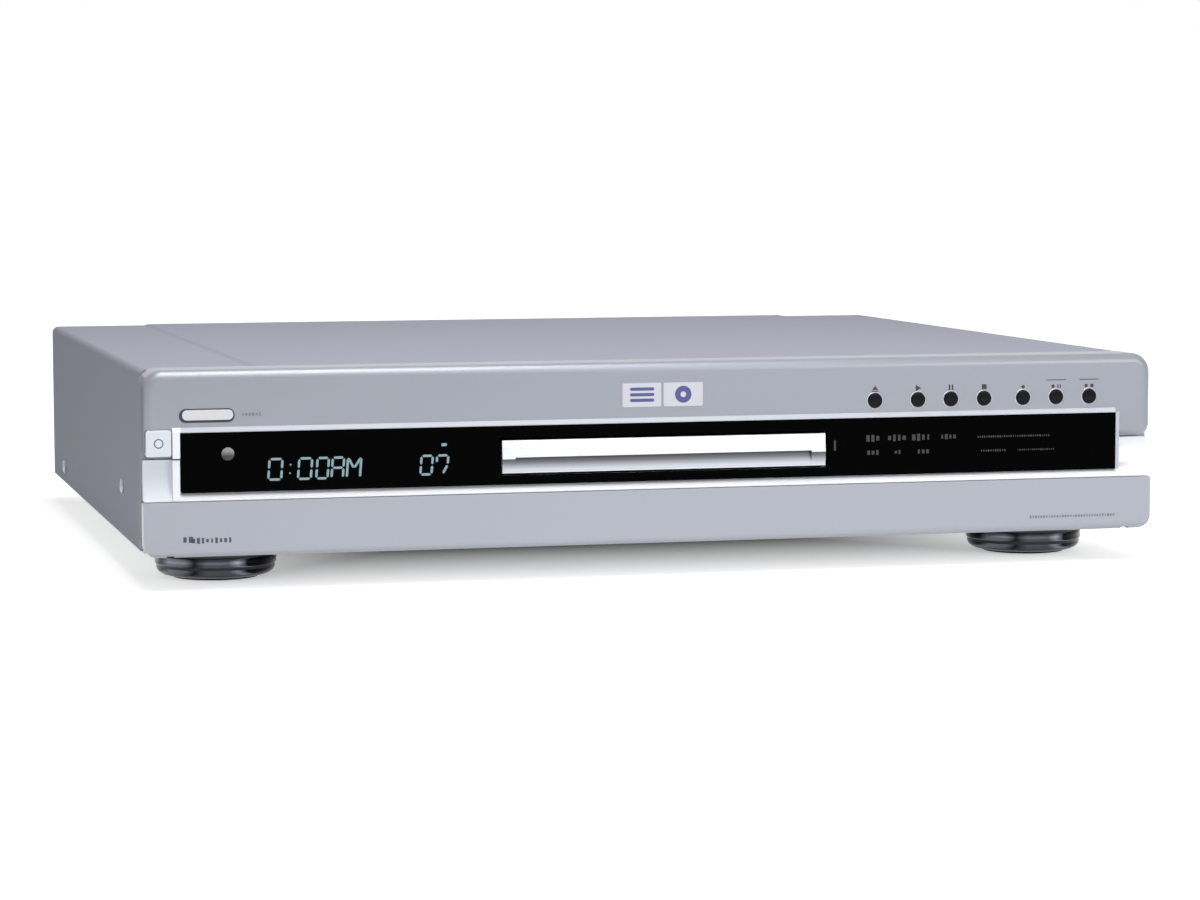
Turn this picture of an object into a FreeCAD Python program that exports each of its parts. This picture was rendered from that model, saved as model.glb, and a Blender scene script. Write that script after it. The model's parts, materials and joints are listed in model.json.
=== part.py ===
"""DVD recorder: full-width hi-fi component with a disc tray, a hinged lower flap and round feet.

Millimetres. X runs to the right seen from the front, Y to the back, Z up. The origin is on the table,
under the middle of the recorder. Every function builds one piece or one set of like pieces.
"""
import FreeCAD, Part
import math
import os

V = FreeCAD.Vector

# Overall size
WIDTH = 430.0
PANEL_HEIGHT = 75.0
FOOT_HEIGHT = 14.0
DEPTH = 375.0  # from the front face to the rear panel's outer face
TRAY_PROUD = 1.0  # the tray front stands out of the front face
REAR_REACH = 14.0  # the aerial sockets stand out of the rear panel

# Walls and clearances
WALL = 2.5  # moulded front
SHEET = 1.0  # steel sheet
LAP = 0.3  # between sheets and mouldings that meet
RUN = 0.3  # between a moving piece and what it slides past
SHAFT_FIT = 0.05  # radial, between a shaft and its bore
PINNED = 0.02  # radial, between a fixed pin and its bore
SEAT_FIT = 0.2  # round the window and the power button in their seats
BUTTON_FIT = 0.15  # radial, round a button in the panel
TRAY_GAP = 1.0  # round the tray front in the window and the front
ROOT = 0.5  # how deep a rib, post or ledge starts inside its wall
RIB_THICK = 1.5

# Moulded front
PANEL_DEPTH = 20.0
TOP_CORNER = 8.0
LOW_CORNER = 6.0
BLOCK_CORNER = 4.5  # lower corners of the upper block
EDGE_ROUND = 4.0
FLAP_HEIGHT = 22.4
SILL_TOP = 39.2  # above the panel's lower edge, as the next ones
UPPER_BOTTOM = 39.8
WINDOW_BOTTOM = 26.0
WINDOW_TOP = 50.0
WINDOW_HALF = 200.0
WINDOW_THICK = 3.0
WINDOW_PROUD = 0.3
SURROUND_PROUD = 0.7
SURROUND_LEFT = 3.2  # width of the surround left of the window
SURROUND_RIGHT = 1.6
SURROUND_TOP = 2.1  # height of its bar over the window
THIN_FROM = 12.7  # the upper block's wall is thin from here up, above its lower edge
RIB_FROM = 13.5
RIB_REACH = 9.0  # behind the face
PANEL_RIBS = (-150, -100, -50, 0, 50)
WINDOW_CORNER = 1.0
SURROUND_GAP = 0.1  # over the window
SURROUND_EDGE = 0.4  # height of the bar's front edge
WINDOW_BACKING = 5.2  # from the face to the back of the wall behind the window
BACK_WALL = 3.1  # wall behind the sill
SILL_WALL = 2.0
SILL_DEPTH = 6.5
SILL_BEHIND_FACE = 0.5
SILL_OVER_FLAP = 0.5
SILL_END_GAP = 0.4
BEAD_CLEAR = 0.8  # between the flap's bead and the panel
JACKS_BEHIND_FACE = 14.5
BAY_FROM_DRIVE = 8.0
BAY_WIDTH = 110.0
BAY_RISE = 4.5  # above the panel's lower edge
BAY_HEIGHT = 16.5
FRONT_S_VIDEO_AT = 30.0  # from the bay's left end, as the next ones
FRONT_PHONOS_AT = (48.0, 66.0, 84.0)
DV_AT = 100.0
SILL_HOLLOW = 0.9  # how far the slope's middle lies behind its straight line
SILL_LEAN = 3.5  # how far the sill's slope leans back over its height

# Lower flap
FLAP_SKIN = 2.2
FLAP_DEPTH = 6.0
FLAP_RIM = 2.0
FLAP_EDGE = 0.8
FLAP_RIBS = (-160, -80, 0)
BEAD_RADIUS = 3.4
HINGE_PIN_RADIUS = 0.8
EAR_AT = 204.0  # from the middle
EAR_THICK = 2.5
EAR_RADIUS = 1.9
EAR_GAP = 0.4
EAR_ROOT = 0.7
NOTCH_WALL = 1.2  # flap left in front of an ear
NOTCH_RISE = 4.2
PIN_HALF = 4.7
BEAD_GAP = 1.0

# Disc tray
TRAY_FRONT_WIDTH = 138.0
TRAY_FRONT_BOTTOM = 30.6  # above the panel's lower edge
TRAY_FRONT_HEIGHT = 13.5
TRAY_FRONT_THICK = 3.4
SCOOP_DROP = 0.3  # from the middle of the bar down to the scoop's ledge
SCOOP_DEPTH = 1.9
SCOOP_SILL = 1.3  # plain bar under the scoop
SCOOP_STEP = 1.0  # upright part of the scoop's back
SCOOP_RIM = 0.25
TRAY_CREST = 0.9  # the bar's foremost line lies this far below its middle
TRAY_TOP_LEAN = 0.9
TRAY_LOW_LEAN = 0.5
SCOOP_LEFT = 5.4  # plain bar left of the scoop
SCOOP_RIGHT = 6.2
TRAY_WIDTH = 129.0
TRAY_LENGTH = 184.0
TRAY_TRAVEL = 145.0
TRAY_BELOW_MIDDLE = 2.5
TRAY_FLOOR_THICK = 3.0
TRAY_RIM = 2.6
TRAY_LIP_THICK = 3.0
TRAY_LIP_DROP = 3.4
RUNNER_WIDTH = 1.5
DISC_RADIUS = 60.0
SMALL_DISC_RADIUS = 40.0
DISC_GAP = 0.6
SMALL_DISC_STEP = 1.2
DISC_FROM_FACE = 76.0
SLOT_HALF = 17.5
HUB_HOLE_RADIUS = 20.0

# Tray drive
MODULE = 1.0
BACKLASH = 0.12
PRESSURE_ANGLE = math.radians(20)
ADDENDUM = 0.8  # in modules, as the next one
DEDENDUM = 1.1
RACK_DROP = 4.2
RACK_BACK = 4.4
WHEEL_THICK = 2.8
PULLEY_THICK = 2.8
WHEEL_GAP = 0.4  # between the pulley's and the wheel's levels
PINION_GAP = 0.6  # under the tray
RACK_PINION_TEETH = 14
WHEEL_TEETH = 30
PULLEY_PINION_TEETH = 12
GEAR_X = -43.5
GEAR_FROM_FACE = 32.0
GEAR_POST_RADIUS = 1.5
GEAR_HUB_RADIUS = 4.0
PULLEY_GROOVE_RADIUS = 9.8
MOTOR_GROOVE_RADIUS = 2.4
FLANGE_RISE = 1.6
PULLEY_WALL = 0.6
BELT_SIDE = 1.2
BELT_GAP = 0.1
MOTOR_X = 12.0
MOTOR_FROM_FACE = 26.0
MOTOR_RADIUS = 10.0
MOTOR_HEIGHT = 12.0
MOTOR_SHAFT_RADIUS = 1.0
MOTOR_SHAFT_DROP = 3.0  # below the drive's underside
MOTOR_COLLAR_RADIUS = 2.6

# Drive
DRIVE_HALF = 74.0
DRIVE_WALL = 2.5
DRIVE_FRONT = 10.0  # behind the face
DRIVE_LENGTH = 196.0
DRIVE_DROP = 15.85  # from the middle of the tray front down to the drive's underside
DRIVE_RISE = 11.15
DRIVE_FLOOR = 2.0
LEDGE_REACH = 1.6  # under the tray's runner
LEDGE_HEIGHT = 2.4
LIP_REACH = 0.8  # over the tray's runner
LIP_LENGTH = 22.0
LIP_THICK = 1.5
TRAVERSE_RISE = 1.0
TRAVERSE_THICK = 1.5
TRAVERSE_FORE = 20.0  # in front of the disc's middle
TRAVERSE_AFT = 82.0
TRAVERSE_FRONT_GAP = 3.0  # between the traverse and the drive's floor
TRAVERSE_REAR_GAP = 14.0
TRAVERSE_POST_RADIUS = 3.5
TRAVERSE_POST_X = 54.0
TRAVERSE_POST_IN = 6.0  # from the traverse's ends
FLOOR_OPENING_HALF = 50.0
BRACKET_IN = 24.0  # from the drive's ends
BRACKET_FOOT = 13.0
CLAMPER_RADIUS = 15.0
CLAMPER_HUB = 11.4
CLAMPER_OVER_TRAY = 2.4
CLAMPER_THICK = 1.6
CLAMPER_CAP = 1.5
CLAMPER_CAP_INSET = 0.6
CLAMPER_PLAY = 0.8
BRIDGE_HALF = 20.0
BRIDGE_CORNER = 3.0
BRIDGE_TAB = (18.0, 8.0)  # its limits in front of the disc's middle
BRIDGE_TAB_DROP = 5.5
TURNTABLE_RADIUS = 15.0
SLED_TRAVEL = 34.0
ROD_RADIUS = 1.5
ROD_RISE = 3.0
ROD_FROM_DISC = 4.5
SPINDLE_SHAFT_RADIUS = 1.0
SPINDLE_COLLAR_RADIUS = 4.4
SPINDLE_CAN_RADIUS = 12.5
SPINDLE_CAN_HEIGHT = 6.0
SPINDLE_SHAFT_RISE = 6.0
TURNTABLE_GAP = 1.3  # over the traverse
TURNTABLE_HEIGHT = 3.2
TURNTABLE_THICK = 1.4
TURNTABLE_HUB = 6.0
CONE_LOW_RADIUS = 7.4
CONE_TOP_RADIUS = 6.2
CONE_GAP = 0.9  # under the tray
SLED_FRONT = 13.0  # behind the disc's middle
SLED_LENGTH = 23.0
SLED_BELOW_ROD = 2.4
SLED_ABOVE_ROD = 2.6
SLED_BORE_EDGE = 3.2
LENS_RADIUS = 3.2
LENS_FROM_DISC = 24.0
LENS_RISE = 1.0
SLED_MOTOR_RADIUS = 4.6
SLED_MOTOR_LENGTH = 11.0
LEAD_SCREW_END = 3.0  # inside the sled motor
ROD_X = 22.0
SCREW_X = -30.0

# Buttons, measured from the right end of the panel
BUTTON_RADIUS = 3.0
BUTTON_HEIGHT = 57.2  # above the panel's lower edge
BUTTON_PROUD = 1.0
BUTTONS = {
    "open_close_button": 124.2,
    "play_button": 105.2,
    "pause_button": 90.6,
    "stop_button": 75.8,
    "record_button": 58.3,
    "record_pause_button": 43.4,
    "record_stop_button": 28.4,
}
PRESS = 0.7
POWER_WIDTH = 10.2
POWER_HEIGHT = 10.6
POWER_FROM_END = 1.2
POWER_ABOVE = 0.9  # over the upper block's lower edge
POWER_CORNER = 1.0
FLANGE_HALF = 3.9
FLANGE_THICK = 1.0
STEM_HALF = 1.0
STEM_GAP = 0.1  # between a pressed stem and its switch
POWER_PROUD = 0.6

# Feet
FOOT_RADIUS = 25.2
RING_THICK = 0.7
PAD_THICK = 1.0
FRONT_FOOT_FROM_MIDDLE = 178.7
REAR_FOOT_FROM_MIDDLE = 150.0
FRONT_FOOT_FROM_FACE = 55.0
REAR_FOOT_FROM_REAR = 45.0
RING_BOTTOM = 5.6
RING_HEIGHT = 4.2
RING_CHAMFER = 0.6
FOOT_TOE_DROP = 4.4  # the foot draws in below this height
FOOT_TOE = 4.6
PAD_INSET = 7.5

# Cover and chassis
COVER_INSET = 1.2  # also how far the side screws' heads stand out
COVER_DROP = 0.7  # the cover's outer strips lie below the panel's top
PAD_RISE = 0.6  # raised middle of the cover
PAD_FROM_END = 48.0
COVER_CORNER = 3.0
SCREW_RADIUS = 1.5
SCREW_HEAD_RADIUS = 3.2
SCREW_HOLE_GAP = 0.3  # radial, in the cover
SIDE_SCREWS = ((80.0, 22.0), (322.0, 9.0))  # behind the face, above the lower edge
REAR_SCREWS = (-120.0, 0.0, 120.0)
REAR_SCREW_DROP = 4.0
SCREW_ROOT = 0.2
SIDE_SHANK = 1.5
COVER_RISE = 1.0  # lower edge of its sides above the panel's
CHASSIS_SIDE = 26.0
CHASSIS_FRONT = 3.5
REAR_LIP = 7.0
REAR_HEAD_THICK = 1.6

# Sockets
PHONO_RADIUS = 4.15
PHONO_LENGTH = 8.0
PHONO_BORE = 1.6
PHONO_COLLAR = 5.4
PHONO_COLLAR_RISE = 0.6
AERIAL_RADIUS = 4.75
S_VIDEO_RADIUS = 4.6
S_VIDEO_DEPTH = 6.0
S_VIDEO_WALL = 1.0
S_VIDEO_PROUD = 1.5
S_VIDEO_BODY = 9.0
PHONO_COLLAR_DEPTH = 3.0
JACK_PLATE = 1.5
BAY_LAP = 2.0  # of the jack plate round the bay
DV_HALF = (3.8, 2.4)
DV_SLOT_HALF = (2.7, 1.3)
INLET_GAP = 0.3
HOLE_GAP = 0.4  # round a socket in its wall
SOCKET_RISE = 18.0  # lowest row, above the panel's lower edge
SOCKET_PITCH = 20.0
PHONO_COLUMNS = (85.0, 105.0, 125.0, 150.0)  # from the panel's end, as the next ones
S_VIDEO_COLUMN = 62.0
AERIAL_COLUMN = 32.0
AERIAL_RISES = (26.0, 50.0)
AERIAL_NUT_RADIUS = 6.6
AERIAL_NUT_REACH = 2.6
AERIAL_PIN_HOLE = 0.8
INLET_FROM_END = 28.0
INLET_WIDTH = 22.0
INLET_HEIGHT = 14.0
INLET_PROUD = 1.5
INLET_BODY = 16.0
INLET_WELL_HALF = (8.2, 4.4)
INLET_WELL_CORNER = 4.3
INLET_WELL_DEPTH = 12.0
INLET_PIN_RADIUS = 1.2
INLET_PIN_FROM_MIDDLE = 4.3
TUNER_LENGTH = 62.0
FAN_X = -62.0
FAN_RISE = 40.0
FAN_SIDE = 50.0
FAN_DEPTH = 12.0
FAN_BLADES = 7
FAN_HUB_RADIUS = 9.0
FAN_PIVOT_RADIUS = 1.5
FAN_SLOT_PITCH = 6.0
FAN_SLOT_HALF = 1.6
FAN_DUCT_WALL = 1.5
FAN_ARM_HALF = 1.5
FAN_ARM_BACK = 2.0

# Boards
BOARD_THICK = 1.6
BOARD_BEHIND_FACE = 16.0
SWITCH_LENGTH = 4.5
SWITCH_HALF = 3.0
SWITCH_TIP_HALF = 1.6
SWITCH_BODY = 3.5
BOARD_RISE = 7.0  # main and supply board, over the chassis floor
POST_IN = 5.0  # from a board's edges
POST_HALF = 2.5
FRONT_BOARD_GAP = 1.0  # inside the panel's walls
FRONT_BOARD_DROP = 13.0
FRONT_BOARD_TOP_GAP = 2.0
FRONT_BOARD_CORNER = 6.0
BOARD_DRIVE_GAP = 5.0
BOARD_DRIVE_RISE = 3.0
TUBE_BEHIND_FACE = 9.2
TUBE_CORNER = 1.5
TUBE_TIP_RADIUS = 1.5
SENSOR_HOLE_RADIUS = 4.2
SENSOR_HALF = (3.5, 4.0)
SENSOR_BODY = 3.5
SENSOR_EYE = (2.2, 3.0)  # radii at its tip and foot
SENSOR_EYE_LENGTH = 4.0

# Places worked out from the sizes above
END = WIDTH / 2
FACE = TRAY_PROUD - (TRAY_PROUD + DEPTH + REAR_REACH) / 2
REAR = FACE + DEPTH
LOW = FOOT_HEIGHT
TOP = LOW + PANEL_HEIGHT
FLAP_TOP = LOW + FLAP_HEIGHT
PANEL_BACK = FACE + PANEL_DEPTH
DISC_Y = FACE + DISC_FROM_FACE
TRAY_MID = LOW + TRAY_FRONT_BOTTOM + TRAY_FRONT_HEIGHT / 2
TRAY_BOTTOM = TRAY_MID - TRAY_BELOW_MIDDLE
TRAY_FLOOR = TRAY_BOTTOM + TRAY_FLOOR_THICK
TRAY_TOP = TRAY_FLOOR + TRAY_RIM
DRIVE_BOTTOM = TRAY_MID - DRIVE_DROP
DRIVE_TOP = TRAY_MID + DRIVE_RISE
TRAY_Y = FACE + TRAY_FRONT_THICK - TRAY_PROUD
GEAR_Y = FACE + GEAR_FROM_FACE
PITCH_LINE_X = GEAR_X - MODULE * RACK_PINION_TEETH / 2
PULLEY_X = GEAR_X + MODULE * (WHEEL_TEETH + PULLEY_PINION_TEETH) / 2
MOTOR_Y = FACE + MOTOR_FROM_FACE
RACK_BOTTOM = TRAY_BOTTOM - RACK_DROP
FLOOR_TOP = DRIVE_BOTTOM + DRIVE_FLOOR
PULLEY_BOTTOM = FLOOR_TOP + LAP
PULLEY_TOP = PULLEY_BOTTOM + PULLEY_THICK
WHEEL_BOTTOM = PULLEY_TOP + WHEEL_GAP
WHEEL_TOP = WHEEL_BOTTOM + WHEEL_THICK
PINION_TOP = TRAY_BOTTOM - PINION_GAP
TRAVERSE_BOTTOM = FLOOR_TOP + TRAVERSE_RISE
TRAVERSE_TOP = TRAVERSE_BOTTOM + TRAVERSE_THICK
ROD_Z = TRAVERSE_TOP + ROD_RISE
TRAVERSE_FRONT = DISC_Y - TRAVERSE_FORE
TRAVERSE_REAR = DISC_Y + TRAVERSE_AFT
FLOOR_BOTTOM = LOW
FLOOR_SHEET_TOP = FLOOR_BOTTOM + SHEET
COVER_HALF = END - COVER_INSET
COVER_TOP = TOP - COVER_DROP
COVER_FRONT = PANEL_BACK + LAP
BOARD_Y = FACE + BOARD_BEHIND_FACE
SWITCH_TIP_Y = BOARD_Y - SWITCH_LENGTH
HINGE_Y = FACE + BEAD_RADIUS
HINGE_Z = LOW + BEAD_RADIUS
BEAD_CLEAR_Y = FACE + 2 * BEAD_RADIUS + BEAD_CLEAR  # the panel keeps behind this below the sill
JACK_WALL_Y = FACE + JACKS_BEHIND_FACE
BAY = (DRIVE_HALF + BAY_FROM_DRIVE, DRIVE_HALF + BAY_FROM_DRIVE + BAY_WIDTH)
BAY_Z = (LOW + BAY_RISE, LOW + BAY_RISE + BAY_HEIGHT)
JACK_Z = (BAY_Z[0] + BAY_Z[1]) / 2
FRONT_S_VIDEO_X = BAY[0] + FRONT_S_VIDEO_AT
FRONT_PHONO_X = tuple(BAY[0] + at for at in FRONT_PHONOS_AT)
DV_X = BAY[0] + DV_AT
DISPLAY = (-172.0, -85.0)
DISPLAY_Z = (LOW + 28.5, LOW + 46.0)
SENSOR_X = -181.0
SENSOR_Z = LOW + 41.3
CLAMP_Z = DRIVE_TOP


def box(x, y, z):
    """Block between two limits on each axis."""
    return Part.makeBox(x[1] - x[0], y[1] - y[0], z[1] - z[0], V(x[0], y[0], z[0]))


def rod(axis, centre, radius, low, high):
    """Round bar along one axis; centre gives the other two coordinates in order."""
    a, b = centre
    start = {"x": V(low, a, b), "y": V(a, low, b), "z": V(a, b, low)}[axis]
    way = {"x": V(1, 0, 0), "y": V(0, 1, 0), "z": V(0, 0, 1)}[axis]
    return Part.makeCylinder(radius, high - low, start, way)


def corner_edges(corners):
    """Edges of a closed outline whose corners are (point, radius), each rounded by its radius."""
    stations = []
    for i, (point, radius) in enumerate(corners):
        if radius == 0:
            stations.append((point, None, point))
            continue
        before = V(corners[i - 1][0] - point).normalize()
        after = V(corners[(i + 1) % len(corners)][0] - point).normalize()
        half = before.getAngle(after) / 2
        inward = V(before + after).normalize()
        centre = point + inward * (radius / math.sin(half))
        reach = radius / math.tan(half)
        stations.append((point + before * reach, centre - inward * radius, point + after * reach))
    edges = []
    for i, (start, middle, end) in enumerate(stations):
        if middle is not None:
            edges.append(Part.Arc(start, middle, end).toShape())
        following = stations[(i + 1) % len(stations)][0]
        if end.distanceToPoint(following) > 1e-6:
            edges.append(Part.LineSegment(end, following).toShape())
    return edges


def slab(axis, low, high, corners):
    """Outline of (a, b) or (a, b, corner radius) drawn across one axis and extruded along it."""
    place = {
        "x": lambda a, b: V(low, a, b),
        "y": lambda a, b: V(a, low, b),
        "z": lambda a, b: V(a, b, low),
    }[axis]
    way = {"x": V(1, 0, 0), "y": V(0, 1, 0), "z": V(0, 0, 1)}[axis]
    rounded = [(place(c[0], c[1]), c[2] if len(c) > 2 else 0) for c in corners]
    face = Part.Face(Part.Wire(Part.__sortEdges__(corner_edges(rounded))))
    return face.extrude(way * (high - low))


def plate(axis, low, high, a, b, radius):
    """Rectangular slab with four equal corner radii."""
    ring = [(a[0], b[0], radius), (a[1], b[0], radius), (a[1], b[1], radius), (a[0], b[1], radius)]
    return slab(axis, low, high, ring)


def turned(profile, centre):
    """Solid of revolution about a vertical axis, from (radius, height) points."""
    points = [V(centre[0] + r, centre[1], z) for r, z in profile]
    face = Part.Face(Part.makePolygon(points + [points[0]]))
    return face.revolve(V(centre[0], centre[1], 0), V(0, 0, 1), 360)


def mirrored(shape):
    """The same piece on the other side of the middle plane."""
    return shape.mirror(V(0, 0, 0), V(1, 0, 0))


def pair(shape):
    """A piece and its mirror image."""
    return [shape, mirrored(shape)]


def tray_passage():
    """Room for the tray through everything that stands in front of the drive."""
    half = TRAY_FRONT_WIDTH / 2 + TRAY_GAP
    low = LOW + TRAY_FRONT_BOTTOM
    z = (low - TRAY_GAP, low + TRAY_FRONT_HEIGHT + TRAY_GAP)
    return box((-half, half), (FACE - 5, FACE + PANEL_DEPTH), z)


def display_passages():
    """Openings behind the window for the display tube and the remote sensor."""
    tube = box(DISPLAY, (FACE + WINDOW_THICK - WINDOW_PROUD, PANEL_BACK), DISPLAY_Z)
    eye = rod("y", (SENSOR_X, SENSOR_Z), SENSOR_HOLE_RADIUS, FACE + WINDOW_THICK - WINDOW_PROUD, PANEL_BACK)
    return [tube, eye]


def outline(low_corner, top_corner, bottom, inset=0.0):
    """Front-view outline of the panel, or of its upper part."""
    x = END - inset
    low_radius = max(low_corner - inset, 0.5)
    top_radius = max(top_corner - inset, 0.5)
    return [
        (-x, bottom + inset, low_radius),
        (x, bottom + inset, low_radius),
        (x, TOP - inset, top_radius),
        (-x, TOP - inset, top_radius),
    ]


def button_place(name):
    """Middle of a round button in the front view."""
    return END - BUTTONS[name], LOW + BUTTON_HEIGHT


def power_area():
    """Power button's limits in the front view."""
    x0 = -END + POWER_FROM_END
    z0 = LOW + UPPER_BOTTOM + POWER_ABOVE
    return (x0, x0 + POWER_WIDTH), (z0, z0 + POWER_HEIGHT)


def front_panel():
    """Moulded front: upper block, wall behind the sill and the flap, window seat, hinge ears, jack bay."""
    upper_z = LOW + UPPER_BOTTOM
    body = slab("y", FACE + SILL_DEPTH, PANEL_BACK, outline(LOW_CORNER, TOP_CORNER, LOW))
    block = slab("y", FACE, FACE + SILL_DEPTH, outline(BLOCK_CORNER, TOP_CORNER, upper_z))
    rim = [e for e in block.Edges if all(abs(v.Point.y - FACE) < 1e-6 for v in e.Vertexes)]
    panel = body.fuse(block.makeFillet(EDGE_ROUND, rim))
    inner = END - WALL
    hollow_top = TOP - WALL
    wall_back = FACE + SILL_DEPTH + BACK_WALL
    across = (-inner, inner)
    low_y = (FACE + SILL_DEPTH + SILL_WALL, wall_back)
    thin_z = (upper_z + THIN_FROM, hollow_top)
    panel = panel.cut([
        slab("y", wall_back, PANEL_BACK + 1, outline(LOW_CORNER, TOP_CORNER, LOW, WALL)),
        box(across, low_y, (FLAP_TOP + SILL_WALL, hollow_top - 10)),
        box(across, (FACE + WINDOW_BACKING, wall_back), (upper_z + WALL, hollow_top - 10)),
        plate("y", FACE + WALL, wall_back, across, thin_z, TOP_CORNER - WALL),
        box((-END, END), (FACE, BEAD_CLEAR_Y), (LOW - 1, HINGE_Z + BEAD_RADIUS + BEAD_GAP)),
    ])
    window_seat = FACE + WINDOW_THICK - WINDOW_PROUD
    seat_x = WINDOW_HALF + SEAT_FIT
    seat_z = (upper_z - 1, LOW + WINDOW_TOP + SEAT_FIT)
    panel = panel.cut([box((-seat_x, seat_x), (FACE - 1, window_seat), seat_z)])
    tunnel_x = (BAY[0] - BAY_LAP, BAY[1] + BAY_LAP)
    tunnel = box(tunnel_x, (BEAD_CLEAR_Y, JACK_WALL_Y), (BAY_Z[0] - BAY_LAP, BAY_Z[1] + BAY_LAP))
    rib_y = (FACE + WALL - ROOT, FACE + RIB_REACH)
    ribs = [
        box((x - RIB_THICK / 2, x + RIB_THICK / 2), rib_y, (upper_z + RIB_FROM, hollow_top + ROOT))
        for x in PANEL_RIBS
    ]
    panel = panel.fuse([tunnel] + ribs + hinge_ears())
    holes = [box(BAY, (FACE, JACK_WALL_Y + 1), BAY_Z), tray_passage()] + display_passages()
    for name in BUTTONS:
        holes.append(rod("y", button_place(name), BUTTON_RADIUS + BUTTON_FIT, FACE - 1, FACE + 6))
    power_x, power_z = power_area()
    grown_x = (power_x[0] - SEAT_FIT, power_x[1] + SEAT_FIT)
    grown_z = (power_z[0] - SEAT_FIT, power_z[1] + SEAT_FIT)
    holes.append(plate("y", FACE - 1, FACE + SILL_DEPTH + PRESS, grown_x, grown_z, POWER_CORNER + SEAT_FIT))
    return panel.cut(holes).removeSplitter()


def hinge_ears():
    """Two ears that hold the flap's pins."""
    ears = []
    for side in (-1, 1):
        middle = side * EAR_AT
        x = (middle - EAR_THICK / 2, middle + EAR_THICK / 2)
        reach = (HINGE_Y, BEAD_CLEAR_Y + EAR_ROOT)
        arm = box(x, reach, (HINGE_Z - EAR_RADIUS, HINGE_Z + EAR_RADIUS))
        eye = rod("x", (HINGE_Y, HINGE_Z), EAR_RADIUS, x[0], x[1])
        hole = rod("x", (HINGE_Y, HINGE_Z), HINGE_PIN_RADIUS + PINNED, x[0] - 1, x[1] + 1)
        ears.append(arm.fuse(eye).cut(hole))
    return ears


def sill_trim():
    """Light bar with a hollow slope, full width, behind and below the window."""
    low = FLAP_TOP + SILL_OVER_FLAP
    high = LOW + SILL_TOP
    front = FACE + SILL_BEHIND_FACE
    back = FACE + SILL_DEPTH
    x = END - SILL_END_GAP
    foot = V(-x, front, low)
    crest = V(-x, front + SILL_LEAN, high)
    hollow = V(-x, front + SILL_LEAN / 2 + SILL_HOLLOW, (low + high) / 2)
    edges = [
        Part.Arc(foot, hollow, crest).toShape(),
        Part.LineSegment(crest, V(-x, back, high)).toShape(),
        Part.LineSegment(V(-x, back, high), V(-x, back, low)).toShape(),
        Part.LineSegment(V(-x, back, low), foot).toShape(),
    ]
    bar = Part.Face(Part.Wire(edges)).extrude(V(2 * x, 0, 0))
    seat = FACE + WINDOW_THICK - WINDOW_PROUD
    pocket_z = (LOW + WINDOW_BOTTOM - SEAT_FIT, high + 1)
    pocket = box((-WINDOW_HALF - LAP, WINDOW_HALF + LAP), (FACE - 1, seat), pocket_z)
    return bar.cut([pocket, tray_passage()] + display_passages())


def display_window():
    """Black window with the tray's passage through it."""
    z = (LOW + WINDOW_BOTTOM, LOW + WINDOW_TOP)
    y = (FACE - WINDOW_PROUD, FACE - WINDOW_PROUD + WINDOW_THICK)
    return plate("y", y[0], y[1], (-WINDOW_HALF, WINDOW_HALF), z, WINDOW_CORNER).cut(tray_passage())


def window_surround():
    """Bright trim on the face: a bar over the window, a strip at its left and a strip over its right edge."""
    low = LOW + WINDOW_TOP + SURROUND_GAP
    front = FACE - SURROUND_PROUD
    left = (-WINDOW_HALF - SURROUND_LEFT, -WINDOW_HALF - SEAT_FIT)
    right = (WINDOW_HALF - SURROUND_RIGHT + SEAT_FIT, WINDOW_HALF + SEAT_FIT)
    section = [(FACE, low), (front, low), (front, low + SURROUND_EDGE), (FACE, low + SURROUND_TOP)]
    bar = slab("x", left[0], right[0], section)
    upright = box(left, (front, FACE), (LOW + UPPER_BOTTOM, low))
    strip = box(right, (front, FACE - WINDOW_PROUD), (LOW + WINDOW_BOTTOM, low + SURROUND_EDGE))
    return bar.fuse([upright, strip]).removeSplitter()


def front_flap():
    """Drop-down flap: thin skin, rims on three sides and a round bead along its hinge line."""
    corners = [(-END, LOW, LOW_CORNER), (END, LOW, LOW_CORNER)]
    corners += [(END, FLAP_TOP, FLAP_EDGE), (-END, FLAP_TOP, FLAP_EDGE)]
    back = FACE + FLAP_DEPTH
    blank = slab("y", FACE, FACE + 2 * BEAD_RADIUS, corners)
    inner = END - FLAP_RIM
    inside = box((-inner, inner), (FACE + FLAP_SKIN, back + 3), (LOW - 1, FLAP_TOP - FLAP_RIM))
    rim_space = box((-END - 1, END + 1), (back, back + 3), (LOW - 1, FLAP_TOP + 1))
    foot_space = box((-END - 1, END + 1), (FACE - 1, back + 3), (LOW - 1, HINGE_Z))
    skin = blank.cut([inside, rim_space, foot_space])
    bead = rod("x", (HINGE_Y, HINGE_Z), BEAD_RADIUS, -END, END).common(blank)
    flap = skin.fuse(bead)
    rib_y = (FACE + 1, back - ROOT)
    rib_half = RIB_THICK / 2
    ribs = [box((x - rib_half, x + rib_half), rib_y, (HINGE_Z, FLAP_TOP - 1)) for x in FLAP_RIBS]
    flap = flap.fuse(ribs)
    for side in (-1, 1):
        middle = side * EAR_AT
        gap = EAR_THICK / 2 + EAR_GAP
        notch_z = (LOW - 1, HINGE_Z + NOTCH_RISE)
        notch = box((middle - gap, middle + gap), (FACE + NOTCH_WALL, back + 4), notch_z)
        reach = PIN_HALF + LAP
        bore = rod("x", (HINGE_Y, HINGE_Z), HINGE_PIN_RADIUS + SHAFT_FIT, middle - reach, middle + reach)
        flap = flap.cut([notch, bore])
    return flap.removeSplitter()


def flap_hinge_pins():
    """Two steel pins through the ears and the flap's bead."""
    pin = rod("x", (HINGE_Y, HINGE_Z), HINGE_PIN_RADIUS, EAR_AT - PIN_HALF, EAR_AT + PIN_HALF)
    return Part.makeCompound(pair(pin))


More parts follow.
